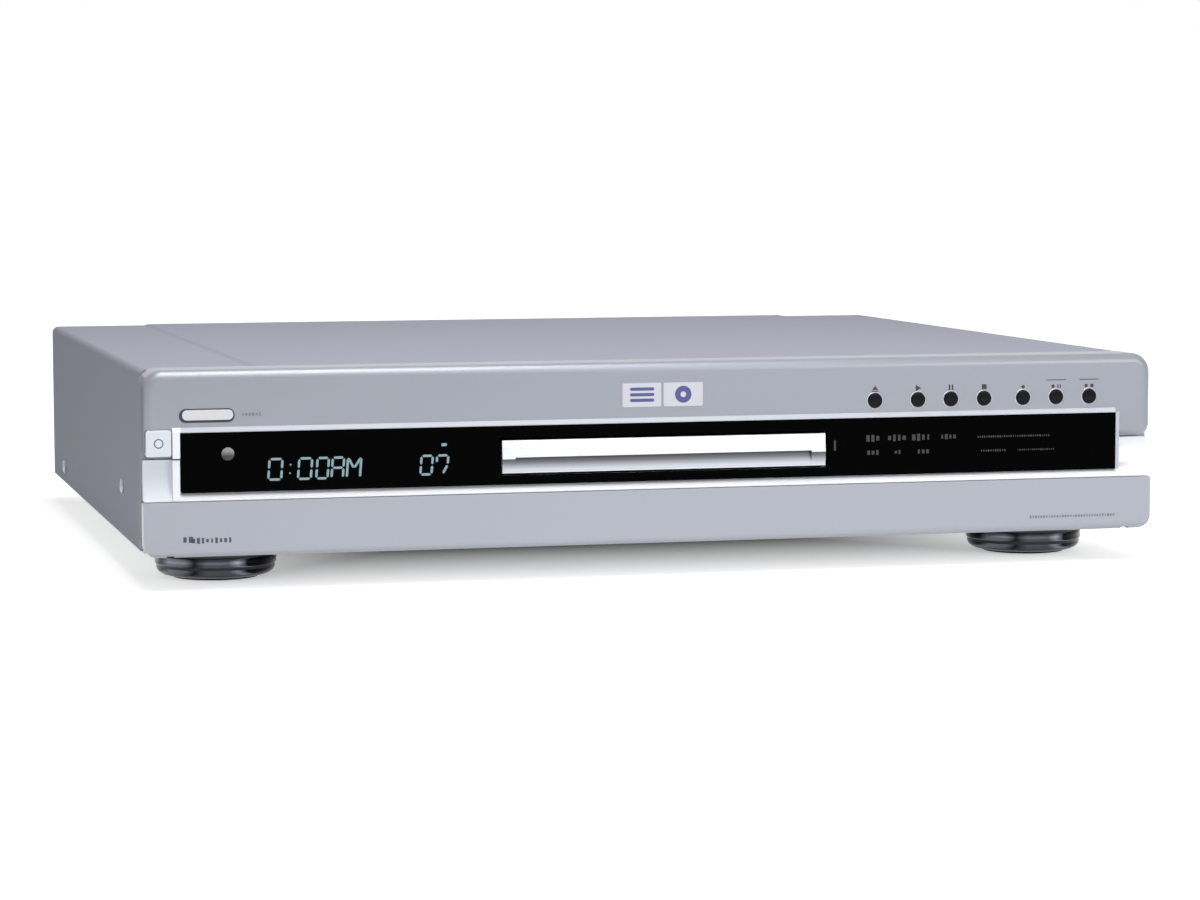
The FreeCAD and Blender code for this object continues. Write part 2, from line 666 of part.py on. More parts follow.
def front_jack_panel():
    """Plate that closes the bay, with holes for the front sockets."""
    x = (BAY[0] - BAY_LAP, BAY[1] + BAY_LAP)
    sheet = box(x, (JACK_WALL_Y, JACK_WALL_Y + JACK_PLATE), (BAY_Z[0] - BAY_LAP, BAY_Z[1] + BAY_LAP))
    through = (JACK_WALL_Y - 1, JACK_WALL_Y + 2)
    holes = [rod("y", (x, JACK_Z), PHONO_COLLAR + HOLE_GAP, *through) for x in FRONT_PHONO_X]
    holes.append(rod("y", (FRONT_S_VIDEO_X, JACK_Z), S_VIDEO_RADIUS + S_VIDEO_WALL + HOLE_GAP, *through))
    half_x, half_z = (half + HOLE_GAP for half in DV_HALF)
    holes.append(box((DV_X - half_x, DV_X + half_x), through, (JACK_Z - half_z, JACK_Z + half_z)))
    return sheet.cut(holes)


def along(start, end):
    """The two limits in rising order."""
    return min(start, end), max(start, end)


def phono_socket(x, z, wall, way):
    """Metal sleeve with a centre hole on a wider collar, pointing out of a wall along Y."""
    face = wall + way * PHONO_COLLAR_RISE
    collar = rod("y", (x, z), PHONO_COLLAR, *along(wall - way * PHONO_COLLAR_DEPTH, face))
    sleeve = rod("y", (x, z), PHONO_RADIUS, *along(face, face + way * PHONO_LENGTH))
    hole = rod("y", (x, z), PHONO_BORE, *along(face + way, face + way * (PHONO_LENGTH + 1)))
    return collar.fuse(sleeve).cut(hole)


def s_video_socket(x, z, wall, way):
    """Round shell with a recess for the plug."""
    tip = wall + way * S_VIDEO_PROUD
    shell = rod("y", (x, z), S_VIDEO_RADIUS + S_VIDEO_WALL, *along(wall - way * S_VIDEO_BODY, tip))
    recess = rod("y", (x, z), S_VIDEO_RADIUS, *along(wall - way * S_VIDEO_DEPTH, tip + way))
    return shell.cut(recess)


def front_jacks():
    """Front sockets on one moulded block."""
    back = JACK_WALL_Y + JACK_PLATE
    block = box((BAY[0] + 4, BAY[1] - 4), (back + 1.2, back + 9.0), (JACK_Z - 6.5, JACK_Z + 6.5))
    recess_end = JACK_WALL_Y + S_VIDEO_DEPTH
    block = block.cut(rod("y", (FRONT_S_VIDEO_X, JACK_Z), S_VIDEO_RADIUS, JACK_WALL_Y, recess_end))
    sockets = [phono_socket(x, JACK_Z, JACK_WALL_Y, -1) for x in FRONT_PHONO_X]
    sockets.append(s_video_socket(FRONT_S_VIDEO_X, JACK_Z, JACK_WALL_Y, -1))
    half_x, half_z = DV_HALF
    dv_z = (JACK_Z - half_z, JACK_Z + half_z)
    dv = box((DV_X - half_x, DV_X + half_x), (JACK_WALL_Y - 0.8, back + 2), dv_z)
    half_x, half_z = DV_SLOT_HALF
    slot_z = (JACK_Z - half_z, JACK_Z + half_z)
    dv = dv.cut(box((DV_X - half_x, DV_X + half_x), (JACK_WALL_Y - 2, back + 1), slot_z))
    return block.fuse(sockets + [dv]).removeSplitter()


def tray_front():
    """Bright bar on the tray's end, its lower half scooped out under a sharp ledge."""
    z0 = LOW + TRAY_FRONT_BOTTOM
    z1 = z0 + TRAY_FRONT_HEIGHT
    y0 = FACE - TRAY_PROUD
    half = TRAY_FRONT_WIDTH / 2
    section = [
        (TRAY_Y, z0),
        (y0 + TRAY_LOW_LEAN, z0, 0.4),
        (y0, TRAY_MID - TRAY_CREST),
        (y0 + TRAY_TOP_LEAN, z1, 0.5),
        (TRAY_Y, z1),
    ]
    bar = slab("x", -half, half, section)
    scoop = [
        (y0 - 1, TRAY_MID - SCOOP_DROP),
        (y0 + SCOOP_DEPTH, TRAY_MID - SCOOP_DROP),
        (y0 + SCOOP_DEPTH, TRAY_MID - SCOOP_DROP - SCOOP_STEP),
        (y0 + SCOOP_RIM, z0 + SCOOP_SILL),
        (y0 - 1, z0 + SCOOP_SILL),
    ]
    return bar.cut(slab("x", -half + SCOOP_LEFT, half - SCOOP_RIGHT, scoop))


def disc_tray():
    """Tray with two disc recesses, a hub opening, runner edges and a rack below its left side."""
    half = TRAY_WIDTH / 2
    back = TRAY_Y + TRAY_LENGTH
    body = box((-half, half), (TRAY_Y, back), (TRAY_BOTTOM, TRAY_TOP))
    edge = half + RUNNER_WIDTH
    runners = box((-edge, edge), (FACE + DRIVE_FRONT, back), (TRAY_BOTTOM, TRAY_FLOOR))
    lip = box((-half, half), (TRAY_Y, TRAY_Y + TRAY_LIP_THICK), (TRAY_BOTTOM - TRAY_LIP_DROP, TRAY_BOTTOM))
    tray = body.fuse([runners, lip])
    small_floor = TRAY_FLOOR - SMALL_DISC_STEP
    slot_end = DISC_Y + DISC_RADIUS + DISC_GAP - 2.0
    slot = box((-SLOT_HALF, SLOT_HALF), (DISC_Y, slot_end), (TRAY_BOTTOM - 1, TRAY_TOP + 1))
    well = (DISC_Y + DISC_RADIUS + 4.0, back - 3.0)
    tray = tray.cut([
        rod("z", (0, DISC_Y), DISC_RADIUS + DISC_GAP, TRAY_FLOOR, TRAY_TOP + 1),
        rod("z", (0, DISC_Y), SMALL_DISC_RADIUS + DISC_GAP, small_floor, TRAY_TOP + 1),
        rod("z", (0, DISC_Y), HUB_HOLE_RADIUS, TRAY_BOTTOM - 1, TRAY_TOP + 1),
        slot,
        box((-half + 6, half - 6), well, (small_floor, TRAY_TOP + 1)),
    ])
    return tray.fuse(rack(TRAY_Y + TRAY_LIP_THICK, back)).removeSplitter()


def rack(front, back):
    """Straight rack with a gap opposite the pinion's axis."""
    pitch = math.pi * MODULE
    slope = math.tan(PRESSURE_ANGLE)
    half = (pitch / 2 - BACKLASH) / 2
    tip_x = PITCH_LINE_X + ADDENDUM * MODULE
    root_x = PITCH_LINE_X - DEDENDUM * MODULE
    tip_half = half - ADDENDUM * MODULE * slope
    root_half = half + DEDENDUM * MODULE * slope
    first = math.ceil((front - GEAR_Y) / pitch) + 1
    last = math.floor((back - GEAR_Y) / pitch) - 1
    points = [V(root_x - RACK_BACK, front, RACK_BOTTOM), V(root_x, front, RACK_BOTTOM)]
    for i in range(first, last):
        middle = GEAR_Y + (i + 0.5) * pitch
        points.append(V(root_x, middle - root_half, RACK_BOTTOM))
        points.append(V(tip_x, middle - tip_half, RACK_BOTTOM))
        points.append(V(tip_x, middle + tip_half, RACK_BOTTOM))
        points.append(V(root_x, middle + root_half, RACK_BOTTOM))
    points.append(V(root_x, back, RACK_BOTTOM))
    points.append(V(root_x - RACK_BACK, back, RACK_BOTTOM))
    face = Part.Face(Part.makePolygon(points + [points[0]]))
    return face.extrude(V(0, 0, TRAY_BOTTOM - RACK_BOTTOM))


def gear(teeth, centre, low, high, tooth_angle):
    """Spur gear with involute flanks, one tooth pointing at tooth_angle (degrees)."""
    pitch_radius = MODULE * teeth / 2
    base = pitch_radius * math.cos(PRESSURE_ANGLE)
    radii = (pitch_radius - DEDENDUM * MODULE, pitch_radius, pitch_radius + ADDENDUM * MODULE)
    half = (math.pi * MODULE / 2 - BACKLASH) / 2 / pitch_radius

    def half_angle(radius):
        pressure = math.acos(min(1.0, base / radius))
        involute = math.tan(pressure) - pressure
        return half + math.tan(PRESSURE_ANGLE) - PRESSURE_ANGLE - involute

    points = []
    for i in range(teeth):
        middle = math.radians(tooth_angle) + 2 * math.pi * i / teeth
        flank = [(r, middle - half_angle(r)) for r in radii]
        flank += [(r, middle + half_angle(r)) for r in reversed(radii)]
        points += [V(centre[0] + r * math.cos(a), centre[1] + r * math.sin(a), low) for r, a in flank]
    face = Part.Face(Part.makePolygon(points + [points[0]]))
    return face.extrude(V(0, 0, high - low))


def tray_gear():
    """Large wheel with the rack's pinion on top of it."""
    centre = (GEAR_X, GEAR_Y)
    hub = rod("z", centre, GEAR_HUB_RADIUS, PULLEY_BOTTOM, WHEEL_BOTTOM)
    wheel = gear(WHEEL_TEETH, centre, WHEEL_BOTTOM, WHEEL_TOP, 0.0)
    pinion = gear(RACK_PINION_TEETH, centre, WHEEL_TOP, PINION_TOP, 180.0)
    bore = rod("z", centre, GEAR_POST_RADIUS + SHAFT_FIT, PULLEY_BOTTOM - 1, PINION_TOP + 1)
    return hub.fuse([wheel, pinion]).cut(bore)


def grooved_pulley(centre, groove):
    """Pulley with a belt groove between two flanges."""
    flange = groove + FLANGE_RISE
    wall = PULLEY_WALL
    profile = [
        (0, PULLEY_BOTTOM),
        (flange, PULLEY_BOTTOM),
        (flange, PULLEY_BOTTOM + wall),
        (groove, PULLEY_BOTTOM + wall),
        (groove, PULLEY_TOP - wall),
        (flange, PULLEY_TOP - wall),
        (flange, PULLEY_TOP),
        (0, PULLEY_TOP),
    ]
    return turned(profile, centre)


def pulley_gear():
    """Belt pulley with a small pinion that drives the large wheel."""
    centre = (PULLEY_X, GEAR_Y)
    pinion = gear(PULLEY_PINION_TEETH, centre, PULLEY_TOP, WHEEL_TOP, 180.0 + 180.0 / PULLEY_PINION_TEETH)
    bore = rod("z", centre, GEAR_POST_RADIUS + SHAFT_FIT, PULLEY_BOTTOM - 1, WHEEL_TOP + 1)
    return grooved_pulley(centre, PULLEY_GROOVE_RADIUS).fuse(pinion).cut(bore)


def motor_pulley():
    """Small pulley with its shaft, which reaches down into the motor."""
    centre = (MOTOR_X, MOTOR_Y)
    shaft = rod("z", centre, MOTOR_SHAFT_RADIUS, DRIVE_BOTTOM - MOTOR_SHAFT_DROP, PULLEY_BOTTOM + 1)
    return grooved_pulley(centre, MOTOR_GROOVE_RADIUS).fuse(shaft)


def belt_outline(big, small, low):
    """Closed loop round two circles, each (x, y, radius), with straight tangents."""
    dx = small[0] - big[0]
    dy = small[1] - big[1]
    heading = math.atan2(dy, dx)
    lean = math.acos((big[2] - small[2]) / math.hypot(dx, dy))

    def at(circle, angle):
        return V(circle[0] + circle[2] * math.cos(angle), circle[1] + circle[2] * math.sin(angle), low)

    up, down = heading + lean, heading - lean
    edges = [
        Part.Arc(at(big, up), at(big, heading + math.pi), at(big, down)).toShape(),
        Part.LineSegment(at(big, down), at(small, down)).toShape(),
        Part.Arc(at(small, down), at(small, heading), at(small, up)).toShape(),
        Part.LineSegment(at(small, up), at(big, up)).toShape(),
    ]
    return Part.Face(Part.Wire(edges))


def drive_belt():
    """Square rubber belt round the two pulleys."""
    low = (PULLEY_BOTTOM + PULLEY_TOP - BELT_SIDE) / 2
    loops = []
    for grow in (BELT_GAP + BELT_SIDE, BELT_GAP):
        big = (PULLEY_X, GEAR_Y, PULLEY_GROOVE_RADIUS + grow)
        small = (MOTOR_X, MOTOR_Y, MOTOR_GROOVE_RADIUS + grow)
        loops.append(belt_outline(big, small, low).extrude(V(0, 0, BELT_SIDE)))
    return loops[0].cut(loops[1])


def loading_motor():
    """Flat can under the drive's floor with a small collar."""
    centre = (MOTOR_X, MOTOR_Y)
    can = rod("z", centre, MOTOR_RADIUS, DRIVE_BOTTOM - MOTOR_HEIGHT, DRIVE_BOTTOM)
    collar = rod("z", centre, MOTOR_COLLAR_RADIUS, DRIVE_BOTTOM - 1, FLOOR_TOP)
    bore_low = DRIVE_BOTTOM - MOTOR_SHAFT_DROP - LAP
    bore = rod("z", centre, MOTOR_SHAFT_RADIUS + SHAFT_FIT, bore_low, FLOOR_TOP + 1)
    return can.fuse(collar).cut(bore)


def drive_frame():
    """Open-topped moulding that carries the tray on ledges and the gears on posts."""
    front = FACE + DRIVE_FRONT
    back = front + DRIVE_LENGTH
    half = DRIVE_HALF
    inner = half - DRIVE_WALL
    edge = TRAY_WIDTH / 2 + RUNNER_WIDTH
    frame = box((-half, half), (front, back), (DRIVE_BOTTOM, DRIVE_TOP))
    hollow = box((-inner, inner), (front + DRIVE_WALL, back - DRIVE_WALL), (FLOOR_TOP, DRIVE_TOP + 1))
    frame = frame.cut(hollow)
    ledge_z = (TRAY_BOTTOM - LAP - LEDGE_HEIGHT, TRAY_BOTTOM - LAP)
    lip_z = (TRAY_FLOOR + LAP, TRAY_FLOOR + LAP + LIP_THICK)
    low_ledge = box((edge - LEDGE_REACH, inner + ROOT), (front, back), ledge_z)
    lips = [
        box((edge - LIP_REACH, inner + ROOT), (y, y + LIP_LENGTH), lip_z)
        for y in (front, DISC_Y - 10, back - 60)
    ]
    for piece in [low_ledge] + lips:
        frame = frame.fuse(pair(piece))
    gate = tray_passage().BoundBox
    opening = (TRAVERSE_FRONT - TRAVERSE_FRONT_GAP, TRAVERSE_REAR + TRAVERSE_REAR_GAP)
    frame = frame.cut([
        box((gate.XMin, gate.XMax), (front - 1, front + DRIVE_WALL), (gate.ZMin, gate.ZMax)),
        box((-FLOOR_OPENING_HALF, FLOOR_OPENING_HALF), opening, (DRIVE_BOTTOM - 1, FLOOR_TOP + 1)),
        rod("z", (MOTOR_X, MOTOR_Y), MOTOR_COLLAR_RADIUS + HOLE_GAP, DRIVE_BOTTOM - 1, FLOOR_TOP + 1),
    ])
    posts = [
        rod("z", (GEAR_X, GEAR_Y), GEAR_POST_RADIUS, FLOOR_TOP - ROOT, PINION_TOP + 0.2),
        rod("z", (PULLEY_X, GEAR_Y), GEAR_POST_RADIUS, FLOOR_TOP - ROOT, WHEEL_TOP + 0.4),
    ]
    for x in (-TRAVERSE_POST_X, TRAVERSE_POST_X):
        for y in (TRAVERSE_FRONT + TRAVERSE_POST_IN, TRAVERSE_REAR - TRAVERSE_POST_IN):
            posts.append(rod("z", (x, y), TRAVERSE_POST_RADIUS, FLOOR_TOP - ROOT, TRAVERSE_BOTTOM))
    return frame.fuse(posts).removeSplitter()


def drive_brackets():
    """Two folded sheets that hold the drive above the chassis."""
    x = DRIVE_HALF
    y = (FACE + DRIVE_FRONT + BRACKET_IN, FACE + DRIVE_FRONT + DRIVE_LENGTH - BRACKET_IN)
    web = box((x, x + SHEET), y, (FLOOR_SHEET_TOP, DRIVE_TOP - 6))
    window = box((x - 1, x + 2), (y[0] + 20, y[1] - 20), (FLOOR_SHEET_TOP + 8, DRIVE_BOTTOM - 3))
    foot = box((x, x + BRACKET_FOOT), y, (FLOOR_SHEET_TOP, FLOOR_SHEET_TOP + SHEET))
    return Part.makeCompound(pair(web.cut(window).fuse(foot)))


def traverse_base():
    """Steel plate with folded ends that hold the guide rods and the lead screw."""
    y = (TRAVERSE_FRONT, TRAVERSE_REAR)
    sheet = box((-46, 46), y, (TRAVERSE_BOTTOM, TRAVERSE_TOP))
    lugs = []
    for side in (-1, 1):
        for mid in (y[0] + TRAVERSE_POST_IN, y[1] - TRAVERSE_POST_IN):
            reach = sorted((side * 45, side * (TRAVERSE_POST_X + 4)))
            lugs.append(plate("z", TRAVERSE_BOTTOM, TRAVERSE_TOP, reach, (mid - 5, mid + 5), 2.0))
    top = ROD_Z + 3.5
    rear_fold = box((-40, 40), (y[1] - TRAVERSE_THICK, y[1]), (TRAVERSE_BOTTOM, top))
    fold_y = (DISC_Y + ROD_FROM_DISC, DISC_Y + ROD_FROM_DISC + TRAVERSE_THICK)
    front_folds = [box(x, fold_y, (TRAVERSE_BOTTOM, top)) for x in ((-36, -18), (18, 28))]
    base = sheet.fuse(lugs + [rear_fold] + front_folds)
    sled_way = box((-16, 16), (DISC_Y + 17, y[1] - 6), (TRAVERSE_BOTTOM - 1, TRAVERSE_TOP + 1))
    through = (TRAVERSE_BOTTOM - 1, TRAVERSE_TOP + 1)
    cuts = [sled_way, rod("z", (0, DISC_Y), SPINDLE_COLLAR_RADIUS + SEAT_FIT, *through)]
    for x in (-ROD_X, ROD_X):
        cuts.append(rod("y", (x, ROD_Z), ROD_RADIUS + PINNED, DISC_Y, y[1] + 1))
    cuts.append(rod("y", (SCREW_X, ROD_Z), ROD_RADIUS + SHAFT_FIT, DISC_Y, y[1] + 1))
    return base.cut(cuts).removeSplitter()


def guide_rods():
    """Two steel rods that the sled runs on."""
    rods = [rod("y", (x, ROD_Z), ROD_RADIUS, DISC_Y + ROD_FROM_DISC, TRAVERSE_REAR) for x in (-ROD_X, ROD_X)]
    return Part.makeCompound(rods)


def lead_screw():
    """Screw that moves the sled; its rear end turns in the sled motor."""
    front = DISC_Y + ROD_FROM_DISC + 0.2
    return rod("y", (SCREW_X, ROD_Z), ROD_RADIUS, front, TRAVERSE_REAR + LEAD_SCREW_END)


def sled_motor():
    """Small round motor behind the traverse's rear fold."""
    axis = (SCREW_X, ROD_Z)
    can = rod("y", axis, SLED_MOTOR_RADIUS, TRAVERSE_REAR, TRAVERSE_REAR + SLED_MOTOR_LENGTH)
    bore_end = TRAVERSE_REAR + LEAD_SCREW_END + LAP
    bore = rod("y", axis, ROD_RADIUS + SHAFT_FIT, TRAVERSE_REAR - 1, bore_end)
    return can.cut(bore)


def spindle_motor():
    """Motor below the traverse with its collar and shaft."""
    centre = (0, DISC_Y)
    can = rod("z", centre, SPINDLE_CAN_RADIUS, TRAVERSE_BOTTOM - SPINDLE_CAN_HEIGHT, TRAVERSE_BOTTOM)
    collar = rod("z", centre, SPINDLE_COLLAR_RADIUS, TRAVERSE_BOTTOM - 1, TRAVERSE_TOP + 1.0)
    shaft = rod("z", centre, SPINDLE_SHAFT_RADIUS, TRAVERSE_TOP, TRAVERSE_TOP + SPINDLE_SHAFT_RISE)
    return can.fuse([collar, shaft])


def turntable():
    """Disc seat with a centring cone; it waits below the tray."""
    low = TRAVERSE_TOP + TURNTABLE_GAP
    rim_top = low + TURNTABLE_HEIGHT
    cone_top = TRAY_BOTTOM - CONE_GAP
    profile = [
        (SPINDLE_SHAFT_RADIUS + SHAFT_FIT, low),
        (TURNTABLE_HUB, low),
        (TURNTABLE_HUB, rim_top - TURNTABLE_THICK),
        (TURNTABLE_RADIUS, rim_top - TURNTABLE_THICK),
        (TURNTABLE_RADIUS, rim_top),
        (CONE_LOW_RADIUS, rim_top),
        (CONE_TOP_RADIUS, cone_top),
        (SPINDLE_SHAFT_RADIUS + SHAFT_FIT, cone_top),
    ]
    return turned(profile, (0, DISC_Y))


def pickup_sled():
    """Optical pickup on the guide rods, with its lens and the lead screw's nut arm."""
    y = (DISC_Y + SLED_FRONT, DISC_Y + SLED_FRONT + SLED_LENGTH)
    z = (ROD_Z - SLED_BELOW_ROD, ROD_Z + SLED_ABOVE_ROD)
    block = box((-ROD_X - SLED_BORE_EDGE, ROD_X - 1.0), y, z)
    fork = box((ROD_X - 1.1, ROD_X + SLED_BORE_EDGE), (y[1] - 8, y[1]), z)
    nut = box((SCREW_X - 3.0, -ROD_X - 3.0), (y[1] - 7, y[1]), z)
    lens = rod("z", (0, DISC_Y + LENS_FROM_DISC), LENS_RADIUS, z[1] - ROOT, z[1] + LENS_RISE)
    belly = box((-12, 12), (DISC_Y + 19.0, y[1] - 3), (TRAVERSE_BOTTOM - 3, z[0] + 0.5))
    sled = block.fuse([fork, nut, lens, belly])
    return sled.cut([
        rod("z", (0, DISC_Y), TURNTABLE_RADIUS + 1.2, TRAVERSE_BOTTOM - 4, z[1] + 2),
        rod("y", (-ROD_X, ROD_Z), ROD_RADIUS + SHAFT_FIT, y[0] - 1, y[1] + 1),
        rod("y", (ROD_X, ROD_Z), ROD_RADIUS + SHAFT_FIT, y[0] - 1, y[1] + 1),
        rod("y", (SCREW_X, ROD_Z), ROD_RADIUS + SHAFT_FIT, y[0] - 1, y[1] + 1),
    ]).removeSplitter()


def clamp_bridge():
    """Steel strip across the drive that holds the clamper above the disc."""
    across = (-DRIVE_HALF, DRIVE_HALF)
    y = (DISC_Y - BRIDGE_HALF, DISC_Y + BRIDGE_HALF)
    sheet = plate("z", CLAMP_Z, CLAMP_Z + SHEET, across, y, BRIDGE_CORNER)
    tab_y = tuple(DISC_Y - reach for reach in BRIDGE_TAB)
    tabs = []
    for side in (-1, 1):
        x = sorted((side * DRIVE_HALF, side * (DRIVE_HALF + SHEET)))
        tabs.append(box(x, tab_y, (CLAMP_Z - BRIDGE_TAB_DROP, CLAMP_Z + SHEET)))
    return sheet.fuse(tabs).cut(rod("z", (0, DISC_Y), CLAMPER_HUB + CLAMPER_PLAY, CLAMP_Z - 1, CLAMP_Z + 2))


def clamper():
    """Puck that hangs in the bridge and presses the disc to the turntable."""
    low = TRAY_TOP + CLAMPER_OVER_TRAY
    seat = CLAMP_Z + SHEET + LAP
    profile = [
        (0, low),
        (CLAMPER_RADIUS, low),
        (CLAMPER_RADIUS, low + CLAMPER_THICK),
        (CLAMPER_HUB, low + CLAMPER_THICK),
        (CLAMPER_HUB, seat),
        (CLAMPER_RADIUS - CLAMPER_CAP_INSET, seat),
        (CLAMPER_RADIUS - CLAMPER_CAP_INSET, seat + CLAMPER_CAP),
        (0, seat + CLAMPER_CAP),
    ]
    return turned(profile, (0, DISC_Y))


def round_button(name):
    """Round cap with a square flange behind the panel and a square stem to its switch."""
    x, z = button_place(name)
    back = FACE + WALL + LAP
    half = FLANGE_HALF
    cap = rod("y", (x, z), BUTTON_RADIUS, FACE - BUTTON_PROUD, back)
    flange = box((x - half, x + half), (back, back + FLANGE_THICK), (z - half, z + half))
    stem_y = (back, SWITCH_TIP_Y - PRESS - STEM_GAP)
    stem = box((x - STEM_HALF, x + STEM_HALF), stem_y, (z - STEM_HALF, z + STEM_HALF))
    return cap.fuse([flange, stem]).removeSplitter()


def power_button():
    """Rectangular button beside the window."""
    x, z = power_area()
    back = FACE + WINDOW_BACKING + LAP
    cap = plate("y", FACE - POWER_PROUD, back, x, z, POWER_CORNER)
    flange = box((x[0] + 1.6, x[1] + 1.5), (back, back + 1.3), (z[0] + 2.2, z[1] + 0.8))
    sx, sz = power_switch_place()
    stem_y = (FACE + 6, SWITCH_TIP_Y - PRESS - STEM_GAP)
    stem = box((sx - STEM_HALF, sx + STEM_HALF), stem_y, (sz - STEM_HALF, sz + STEM_HALF))
    return cap.fuse([flange, stem]).removeSplitter()


def power_switch_place():
    """Middle of the power button's switch in the front view."""
    x, z = power_area()
    return (x[0] + x[1]) / 2 + 0.6, (z[0] + z[1]) / 2


def front_board():
    """Circuit board behind the front, cut away round the drive."""
    edge = END - WALL - FRONT_BOARD_GAP
    low = LOW + UPPER_BOTTOM - FRONT_BOARD_DROP
    top = TOP - WALL - FRONT_BOARD_TOP_GAP
    notch = DRIVE_HALF + BOARD_DRIVE_GAP
    over = DRIVE_TOP + BOARD_DRIVE_RISE
    corners = [
        (-edge, low),
        (-notch, low),
        (-notch, over),
        (notch, over),
        (notch, low),
        (edge, low),
        (edge, top, FRONT_BOARD_CORNER),
        (-edge, top, FRONT_BOARD_CORNER),
    ]
    return slab("y", BOARD_Y, BOARD_Y + BOARD_THICK, corners)


def button_switches():
    """One small push switch behind each button."""
    places = [button_place(name) for name in BUTTONS] + [power_switch_place()]
    switches = []
    for x, z in places:
        half, tip_half = SWITCH_HALF, SWITCH_TIP_HALF
        body = box((x - half, x + half), (BOARD_Y - SWITCH_BODY, BOARD_Y), (z - half, z + half))
        tip_y = (SWITCH_TIP_Y, BOARD_Y - SWITCH_BODY + ROOT)
        tip = box((x - tip_half, x + tip_half), tip_y, (z - tip_half, z + tip_half))
        switches.append(body.fuse(tip))
    return Part.makeCompound(switches)


def display_tube():
    """Glass display tube in front of the board, with its evacuation tip."""
    x = (DISPLAY[0] + 2, DISPLAY[1] - 2)
    z = (DISPLAY_Z[0] + 1, DISPLAY_Z[1] - 1)
    glass = plate("y", FACE + TUBE_BEHIND_FACE, BOARD_Y - LAP, x, z, TUBE_CORNER)
    tip = rod("x", (FACE + 12.5, (z[0] + z[1]) / 2), TUBE_TIP_RADIUS, x[1] - 1, x[1] + 3)
    return glass.fuse(tip)


def remote_sensor():
    """Infrared receiver with a tapered eye."""
    half_x, half_z = SENSOR_HALF
    z = (SENSOR_Z - half_z, SENSOR_Z + half_z)
    body = box((SENSOR_X - half_x, SENSOR_X + half_x), (BOARD_Y - SENSOR_BODY, BOARD_Y), z)
    tip = V(SENSOR_X, BOARD_Y - SENSOR_BODY - SENSOR_EYE_LENGTH, SENSOR_Z)
    barrel = Part.makeCone(SENSOR_EYE[0], SENSOR_EYE[1], SENSOR_EYE_LENGTH, tip, V(0, 1, 0))
    return body.fuse(barrel)


def bottom_chassis():
    """Folded steel floor with low sides and vent slots."""
    half = COVER_HALF - SHEET - LAP
    y = (PANEL_BACK, REAR - SHEET)
    floor = box((-half, half), y, (FLOOR_BOTTOM, FLOOR_SHEET_TOP))
    side = box((half - SHEET, half), y, (FLOOR_BOTTOM, FLOOR_BOTTOM + CHASSIS_SIDE))
    front = box((-half, half), (y[0], y[0] + SHEET), (FLOOR_BOTTOM, FLOOR_BOTTOM + CHASSIS_FRONT))
    chassis = floor.fuse(pair(side) + [front])
    slots = []
    for x in range(-190, -90, 12):
        slots.append(box((x - 2, x + 2), (20, 60), (FLOOR_BOTTOM - 1, FLOOR_SHEET_TOP + 1)))
    for y, z in side_screw_places():
        slots.append(rod("x", (y, z), SCREW_RADIUS + PINNED, -half - 1, half + 1))
    return chassis.cut(slots).removeSplitter()


def rear_panel():
    """Steel rear panel with holes for the sockets, slots for the fan and folded edges."""
    half = COVER_HALF - SHEET - LAP
    y = (REAR - SHEET, REAR)
    z = (FLOOR_BOTTOM, COVER_TOP - SHEET - LAP)
    round_top = COVER_CORNER + LAP
    ring = [(-half, z[0]), (half, z[0]), (half, z[1], round_top), (-half, z[1], round_top)]
    sheet = slab("y", y[0], y[1], ring)
    through = (REAR - SHEET - 1, REAR + 1)
    holes = [rod("y", place, PHONO_COLLAR + HOLE_GAP, *through) for place in phono_places()]
    s_video_hole = S_VIDEO_RADIUS + S_VIDEO_WALL + HOLE_GAP
    holes += [rod("y", place, s_video_hole, *through) for place in s_video_places()]
    holes += [rod("y", place, AERIAL_RADIUS + HOLE_GAP, *through) for place in aerial_places()]
    inlet_x, inlet_z = ((low - INLET_GAP, high + INLET_GAP) for low, high in ac_inlet_area())
    holes.append(box(inlet_x, through, inlet_z))
    x0, z0 = fan_place()
    reach = FAN_SIDE / 2 - 5
    for i in range(-3, 4):
        height = z0 + i * FAN_SLOT_PITCH
        span = math.sqrt(reach * reach - (i * FAN_SLOT_PITCH) ** 2)
        holes.append(box((x0 - span, x0 + span), through, (height - FAN_SLOT_HALF, height + FAN_SLOT_HALF)))
    return sheet.cut(holes)


def phono_places():
    """Middles of the rear phono sockets: four columns of three."""
    columns = [END - d for d in PHONO_COLUMNS]
    return [(x, LOW + SOCKET_RISE + SOCKET_PITCH * row) for x in columns for row in range(3)]


def s_video_places():
    """Middles of the rear S-video sockets."""
    return [(END - S_VIDEO_COLUMN, LOW + SOCKET_RISE + SOCKET_PITCH * row) for row in range(3)]


def aerial_places():
    """Middles of the aerial input and output."""
    return [(END - AERIAL_COLUMN, LOW + rise) for rise in AERIAL_RISES]


def fan_place():
    """Middle of the fan."""
    return FAN_X, LOW + FAN_RISE


def ac_inlet_area():
    """Mains inlet's limits in the rear view."""
    x = -END + INLET_FROM_END
    z = LOW + SOCKET_RISE
    return (x, x + INLET_WIDTH), (z, z + INLET_HEIGHT)


def rear_phono_sockets():
    """Four moulded blocks with three phono sockets each."""
    places = phono_places()
    blocks = []
    back = REAR - SHEET
    for column in range(0, len(places), 3):
        trio = places[column:column + 3]
        x = trio[0][0]
        block = box((x - 6.5, x + 6.5), (back - 11, back - LAP), (trio[0][1] - 7.5, trio[2][1] + 7.5))
        blocks.append(block.fuse([phono_socket(px, pz, REAR, 1) for px, pz in trio]).removeSplitter())
    return Part.makeCompound(blocks)


